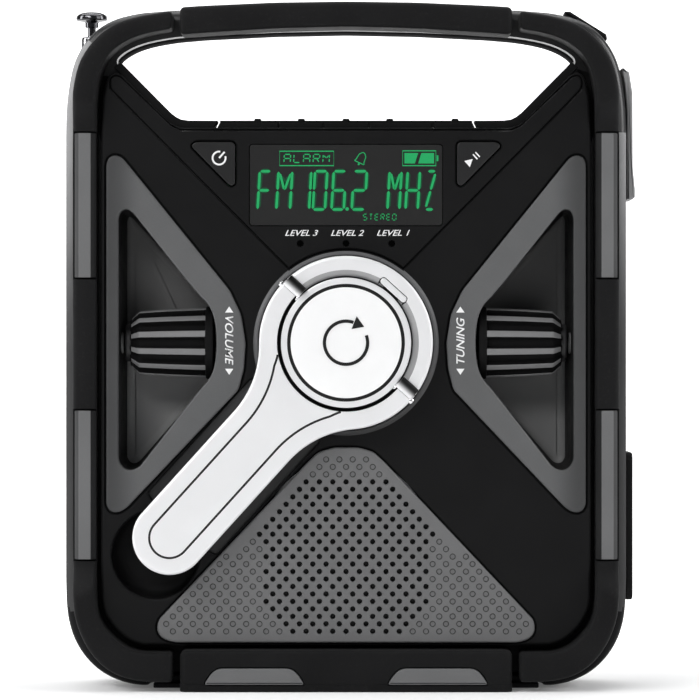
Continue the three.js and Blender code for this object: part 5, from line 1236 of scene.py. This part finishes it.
place(t1, "antenna_lower", "chrome", M["tube"], "antenna_lower_tube")
t2 = lathe("antenna_middle_stage", [(1.45, 0), (2.0, 0), (2.0, 123.2), (1.9, 123.5), (1.75, 123.6), (1.45, 123.6), (1.45, 0)], (X, ANT_Y, ANT_Z + 9), upv, 48)
t2 = add(t2, rod("t", 1.9, (X, ANT_Y, ANT_Z + 8.2), upv, 1.4, 32))
place(t2, "antenna_middle", "chrome", M["tube"], "antenna_middle_tube")
t3 = rod("antenna_top_stage", 1.15, (X, ANT_Y, ANT_Z + 10.4), upv, 126.4, 32)
cap_prof = [(0, 0), (1.5, 0), (1.9, 0.25), (1.9, 1.5), (2.2, 1.75), (3.6, 1.95), (4.25, 2.15), (4.5, 2.5), (4.5, 3.2), (4.3, 3.6), (3.6, 4.1), (2.6, 4.45), (1.4, 4.6), (0, 4.6)]
t3 = add(t3, lathe("t", cap_prof, (X, ANT_Y, ANT_Z + 135), upv, 64))
place(t3, "antenna_end", "chrome", M["black_chrome"], "antenna_tip")


# ================================================================ legends, icons and display glyphs
def flat(pts, y, t=0.05):
    return loft("t", pts, [(0, y), (0, y - t)])


def lettering(body, x, z, height, y, angle=0.0, width=None, shear=0.2, spacing=1.0, t=0.05, bold=0.0):
    """Letters facing the front, centred on (x, z), scaled to the given height and width."""
    cu = bpy.data.curves.new("letters", "FONT")
    cu.body = body
    cu.size = 1.0
    cu.shear = shear
    cu.space_character = spacing
    cu.offset = bold
    cu.resolution_u = 6
    ob = bpy.data.objects.new("letters", cu)
    bpy.context.scene.collection.objects.link(ob)
    bpy.context.view_layer.update()
    dg = bpy.context.evaluated_depsgraph_get()
    me = bpy.data.meshes.new_from_object(ob.evaluated_get(dg))
    bpy.data.objects.remove(ob)
    bpy.data.curves.remove(cu)
    xs = [v.co.x for v in me.vertices]
    ys = [v.co.y for v in me.vertices]
    sy = height / (max(ys) - min(ys))
    sx = (width / (max(xs) - min(xs))) if width else sy
    cx, cy = (max(xs) + min(xs)) / 2, (max(ys) + min(ys)) / 2
    ca, sa = math.cos(math.radians(angle)), math.sin(math.radians(angle))
    bm = bmesh.new()
    bm.from_mesh(me)
    bpy.data.meshes.remove(me)
    bmesh.ops.remove_doubles(bm, verts=bm.verts, dist=1e-5)
    for v in bm.verts:
        a, b = (v.co.x - cx) * sx, (v.co.y - cy) * sy
        v.co = Vector(((x + a * ca - b * sa), y, (z + a * sa + b * ca)))
    ret = bmesh.ops.extrude_face_region(bm, geom=list(bm.faces))
    bmesh.ops.translate(bm, verts=[e for e in ret["geom"] if isinstance(e, bmesh.types.BMVert)], vec=(0, -t, 0))
    bmesh.ops.recalc_face_normals(bm, faces=bm.faces)
    out = bpy.data.meshes.new("letters")
    bm.to_mesh(out)
    bm.free()
    return link("letters", out)


PANEL_Y = FACE_Y - 0.2
BEZEL_Y = FACE_Y - 0.7
K = 1.00245


def at(x, z):
    return (1.1 + (x - 1.1) * K, 94.7 + (z - 94.7) * K)


legends = []
for word, xw in (("LEVEL 3", -12.3), ("LEVEL 2", 0.4), ("LEVEL 1", 13.1)):
    p = at(xw, 127.15)
    legends.append(lettering(word, p[0], p[1], 1.65, PANEL_Y, width=9.2, shear=0.35, bold=0.01))
legends.append(lettering("VOLUME", -32.45, 97.3, 2.3, BEZEL_Y, angle=-90, width=13.6, shear=0.25, bold=0.012))
legends.append(lettering("TUNING", 31.75, 97.3, 2.3, BEZEL_Y, angle=90, width=12.8, shear=0.25, bold=0.012))
for sx in (-32.45, 31.75):
    legends.append(flat([(sx - 1.15, 105.1), (sx + 1.15, 105.1), (sx, 106.8)], BEZEL_Y))
    legends.append(flat([(sx - 1.15, 89.5), (sx + 1.15, 89.5), (sx, 87.8)], BEZEL_Y))
place(merge("printed_legends", legends), "casing", "white_plastic", M["print"], smooth_it=False)



def turned(pts, px, pz, degrees):
    ca, sa = math.cos(math.radians(degrees)), math.sin(math.radians(degrees))
    return [(px + a * ca - b * sa, pz + a * sa + b * ca) for a, b in pts]


px, pz = at(-35.18, 147.9)
ring_pts = arc(0, 0, 2.05, 122, 418, 40) + arc(0, 0, 1.55, 418, 122, 40)
power = [flat(turned(ring_pts, px, pz, -42), FACE_Y - 0.35), flat(turned([(-0.25, 0.0), (0.25, 0.0), (0.25, 2.3), (-0.25, 2.3)], px, pz, -42), FACE_Y - 0.35)]
place(merge("power_icon", power), "power", "white_plastic", M["print"], smooth_it=False)
px, pz = at(35.4, 147.9)
play = [flat(turned([(-2.5, -1.15), (-0.4, 0), (-2.5, 1.15)], px, pz, 42), FACE_Y - 0.35), flat(turned([(0.35, -0.9), (0.72, -0.9), (0.72, 0.9), (0.35, 0.9)], px, pz, 42), FACE_Y - 0.35),
        flat(turned([(1.25, -0.9), (1.62, -0.9), (1.62, 0.9), (1.25, 0.9)], px, pz, 42), FACE_Y - 0.35)]
place(merge("play_icon", play), "play", "white_plastic", M["print"], smooth_it=False)

# the display's characters: bars of a 14-segment cell, leaning slightly
LEAN = 0.06


def seg(p, q, w, z0):
    """A bar with pointed ends from p to q."""
    l = math.dist(p, q)
    d = ((q[0] - p[0]) / l, (q[1] - p[1]) / l)
    n = (-d[1] * w / 2, d[0] * w / 2)
    gapw = 0.12
    a = (p[0] + d[0] * gapw, p[1] + d[1] * gapw)
    b = (q[0] - d[0] * gapw, q[1] - d[1] * gapw)
    h = w / 2
    pts = [a, (a[0] + d[0] * h + n[0], a[1] + d[1] * h + n[1]), (b[0] - d[0] * h + n[0], b[1] - d[1] * h + n[1]), b,
           (b[0] - d[0] * h - n[0], b[1] - d[1] * h - n[1]), (a[0] + d[0] * h - n[0], a[1] + d[1] * h - n[1])]
    return [(x + (z - z0) * LEAN, z) for x, z in pts]


SEGS = {"F": "afeg", "M": "febchj", "1": "bc", "0": "abcdef", "6": "acdefg", "2": "abdeg", "H": "bcefg", "Z": "adjk",
        "A": "abcefg", "L": "def", "R": "abefgn", "S": "acdfg", "T": "ail", "E": "adefg", "O": "abcdef"}


def glyph(ch, x0, x1, z0, z1, w):
    zm = (z0 + z1) / 2
    xm = (x0 + x1) / 2
    i = w / 2
    P = {"tl": (x0 + i, z1 - i), "tr": (x1 - i, z1 - i), "ml": (x0 + i, zm), "mr": (x1 - i, zm), "bl": (x0 + i, z0 + i), "br": (x1 - i, z0 + i), "tm": (xm, z1 - i), "mm": (xm, zm), "bm": (xm, z0 + i)}
    lines = {"a": ("tl", "tr"), "b": ("tr", "mr"), "c": ("mr", "br"), "d": ("bl", "br"), "e": ("ml", "bl"), "f": ("tl", "ml"), "g": ("ml", "mr")}
    out = []
    for sname in SEGS[ch]:
        if sname in lines:
            out.append(seg(P[lines[sname][0]], P[lines[sname][1]], w, z0))
        elif sname == "h":
            out.append(seg((x0 + w, z1 - w * 1.2), (xm, zm + 0.1), w * 0.9, z0))
        elif sname == "j":
            out.append(seg((x1 - w * (1 if ch == "M" else 0.6), z1 - w * 1.2), (xm, zm), w * 0.9, z0))
        elif sname == "n":
            out.append(seg((xm, zm), (x1 - w * 0.6, z0 + w * 0.6), w * 0.9, z0))
        elif sname == "i":
            out.append(seg(P["tm"], P["mm"], w, z0))
        elif sname == "l":
            out.append(seg(P["mm"], P["bm"], w, z0))
        elif sname == "k":
            out.append(seg((xm, zm), (x0 + w * 0.6, z0 + w * 1.2), w * 0.9, z0))
    return out


LENS_Y = FACE_Y - 0.12
rows = [("F", -24.9, -21.1), ("M", -19.7, -15.2), ("1", -11.9, -9.9), ("0", -9.6, -5.5), ("6", -4.4, -0.3), ("2", 1.2, 5.5), ("M", 11.1, 15.1), ("H", 16.1, 20.2), ("Z", 21.6, 24.6)]
glyphs, halos = [], []
for ch, x0, x1 in rows:
    a, b = at(x0, 133.3), at(x1, 144.6)
    for poly in glyph(ch, a[0], b[0], a[1], b[1], 0.72):
        glyphs.append(flat(poly, LENS_Y, 0.06))
    for poly in glyph(ch, a[0] - 0.35, b[0] + 0.35, a[1] - 0.35, b[1] + 0.35, 1.5):
        halos.append(flat(poly, LENS_Y, 0.03))
p = at(0.3, 133.8)
glyphs.append(flat(disc(p[0], p[1], 0.5, 16), LENS_Y, 0.06))
a, b = at(-18.4, 145.8), at(-3.4, 149.8)
glyphs.append(ribbon("t", [(a[0], a[1]), (b[0], a[1]), (b[0], b[1]), (a[0], b[1])], 0.32, LENS_Y - 0.06, LENS_Y, closed=True))
for i, ch in enumerate("ALARM"):
    for poly in glyph(ch, a[0] + 1.0 + i * 2.7, a[0] + 3.1 + i * 2.7, a[1] + 0.7, b[1] - 0.7, 0.34):
        glyphs.append(flat(poly, LENS_Y, 0.06))
c0 = at(4.6, 130.6)
for i, ch in enumerate("STEREO"):
    for poly in glyph(ch, c0[0] + i * 1.62, c0[0] + 1.25 + i * 1.62, c0[1], c0[1] + 1.9, 0.24):
        glyphs.append(flat(poly, LENS_Y, 0.06))
bx, bz = at(4.2, 147.8)
bell = [(bx - 1.5, bz - 1.3), (bx + 1.5, bz - 1.3), (bx + 1.2, bz - 0.8), (bx + 1.0, bz + 0.9), (bx + 0.4, bz + 1.6), (bx, bz + 1.75), (bx - 0.4, bz + 1.6), (bx - 1.0, bz + 0.9), (bx - 1.2, bz - 0.8)]
bell = turned([(x - bx, z - bz) for x, z in bell], bx, bz, -25)
glyphs.append(ribbon("t", smooth(bell, 0.4, 1), 0.26, LENS_Y - 0.06, LENS_Y, closed=True))
glyphs.append(flat(disc(bx - 0.7, bz - 1.6, 0.3, 12), LENS_Y, 0.06))
a, b = at(15.7, 145.8), at(24.9, 149.9)
glyphs.append(ribbon("t", [(a[0], a[1]), (b[0], a[1]), (b[0], b[1]), (a[0], b[1])], 0.35, LENS_Y - 0.06, LENS_Y, closed=True))
glyphs.append(flat(rect(b[0] + 0.2, (a[1] + b[1]) / 2 - 0.8, b[0] + 0.7, (a[1] + b[1]) / 2 + 0.8), LENS_Y, 0.06))
glyphs.append(flat([(a[0] + 0.5, a[1] + 0.6), (a[0] + 3.4, a[1] + 0.6), (a[0] + 4.3, b[1] - 0.6), (a[0] + 0.5, b[1] - 0.6)], LENS_Y, 0.06))
glyphs.append(flat([(a[0] + 4.3, a[1] + 0.6), (b[0] - 0.5, a[1] + 0.6), (b[0] - 0.5, b[1] - 0.6), (a[0] + 5.2, b[1] - 0.6)], LENS_Y, 0.06))
place(merge("lcd_characters", glyphs), "casing", "lcd", M["glow"], smooth_it=False)
place(merge("lcd_character_glow", halos), "casing", "lcd", M["halo"], smooth_it=False)

# finishes of the parts carried over from the model
for node, look in NODE_LOOK.items():
    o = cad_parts[node]
    o.data.materials.clear()
    o.data.materials.append(M[look])

# ================================================================ floor, light and camera
bpy.context.view_layer.update()
bm = bmesh.new()
prof = [(-9.0, 0.0), (-1.6, 0.0), (0.9, 0.0), (8.0, 0.0)] + [(8.0 + 1.5 * math.sin(math.radians(t)), 1.5 - 1.5 * math.cos(math.radians(t))) for t in range(10, 91, 10)] + [(9.5, 4.5)]
cols = [[bm.verts.new((x, y, z)) for y, z in prof] for x in (-9.0, 9.0)]
for i in range(len(prof) - 1):
    bm.faces.new((cols[0][i], cols[1][i], cols[1][i + 1], cols[0][i + 1]))
bmesh.ops.recalc_face_normals(bm, faces=bm.faces)
me = bpy.data.meshes.new("studio_sweep")
bm.to_mesh(me)
bm.free()
floor = link("studio_sweep", me)
floor.data.shade_smooth()
floor.data.materials.append(surface("paper_sweep", (0.86, 0.86, 0.86), 0.85, spec=0.1, grain=1.5, bump=0.05, depth=0.02, mottle=0.01, speck=0.01, mottle_size=200, emit=(1, 1, 1), emit_strength=0.0))
nt = floor.data.materials[0].node_tree
tc = nt.nodes.new("ShaderNodeTexCoord")
sep = nt.nodes.new("ShaderNodeSeparateXYZ")
mr = nt.nodes.new("ShaderNodeMapRange")
mr.interpolation_type = "SMOOTHSTEP"
mr.inputs["From Min"].default_value = 0.03
mr.inputs["From Max"].default_value = 0.35
mr.inputs["To Min"].default_value = 0.1
mr.inputs["To Max"].default_value = 0.65
nt.links.new(tc.outputs["Object"], sep.inputs["Vector"])
nt.links.new(sep.outputs["Y"], mr.inputs["Value"])
far = nt.nodes.new("ShaderNodeMapRange")
far.interpolation_type = "SMOOTHSTEP"
far.inputs["From Min"].default_value = 0.7
far.inputs["From Max"].default_value = 2.2
far.inputs["To Min"].default_value = 0.0
far.inputs["To Max"].default_value = 0.5
nt.links.new(sep.outputs["Y"], far.inputs["Value"])
both = nt.nodes.new("ShaderNodeMath")
both.operation = "ADD"
nt.links.new(mr.outputs["Result"], both.inputs[0])
nt.links.new(far.outputs["Result"], both.inputs[1])
nt.links.new(both.outputs[0], nt.nodes["Principled BSDF"].inputs["Emission Strength"])


def softbox(name, loc, aim, sx, sy, power, color=(1, 1, 1)):
    l = bpy.data.lights.new(name, "AREA")
    l.shape = "RECTANGLE"
    l.size, l.size_y = sx, sy
    l.energy = power
    l.color = color
    o = bpy.data.objects.new(name, l)
    o.location = loc
    o.rotation_mode = "QUATERNION"
    o.rotation_quaternion = (Vector(aim) - Vector(loc)).to_track_quat("-Z", "Y")
    bpy.context.scene.collection.objects.link(o)
    return o


softbox("key", (-0.75, -0.95, 1.05), (0, 0, 0.1), 0.7, 0.7, 7.8)
softbox("top", (0.0, 0.05, 1.1), (0, 0, 0.1), 0.9, 0.5, 4)
softbox("front_fill", (-0.5, -1.35, 0.85), (0, 0, 0.09), 0.5, 0.35, 4.7)
softbox("right_fill", (0.95, -0.7, 0.6), (0, 0, 0.1), 0.6, 0.6, 2.6)
softbox("left_strip", (-0.6, -0.05, 0.36), (0, 0, 0.16), 0.16, 0.5, 2.0)
softbox("right_strip", (0.6, -0.05, 0.36), (0, 0, 0.16), 0.16, 0.5, 1.8)
softbox("backdrop", (0.0, 0.75, 1.3), (0.0, 1.4, 0.4), 1.6, 0.5, 16)

w = bpy.data.worlds.new("studio")
bpy.context.scene.world = w
w.use_nodes = True
bg = w.node_tree.nodes["Background"]
bg.inputs["Color"].default_value = (0.75, 0.77, 0.8, 1)
bg.inputs["Strength"].default_value = 0.17

cam = bpy.data.cameras.new("camera")
cam.lens = 232.0
cam.sensor_width = 36.0
cam.clip_start, cam.clip_end = 0.05, 20
co = bpy.data.objects.new("camera", cam)
co.location = (0.0011, -1.2736, 0.0947)
co.rotation_euler = (math.radians(90), 0, 0)
bpy.context.scene.collection.objects.link(co)
bpy.context.scene.camera = co
bpy.context.scene.view_settings.view_transform = "Standard"
bpy.context.scene.view_settings.look = "None"
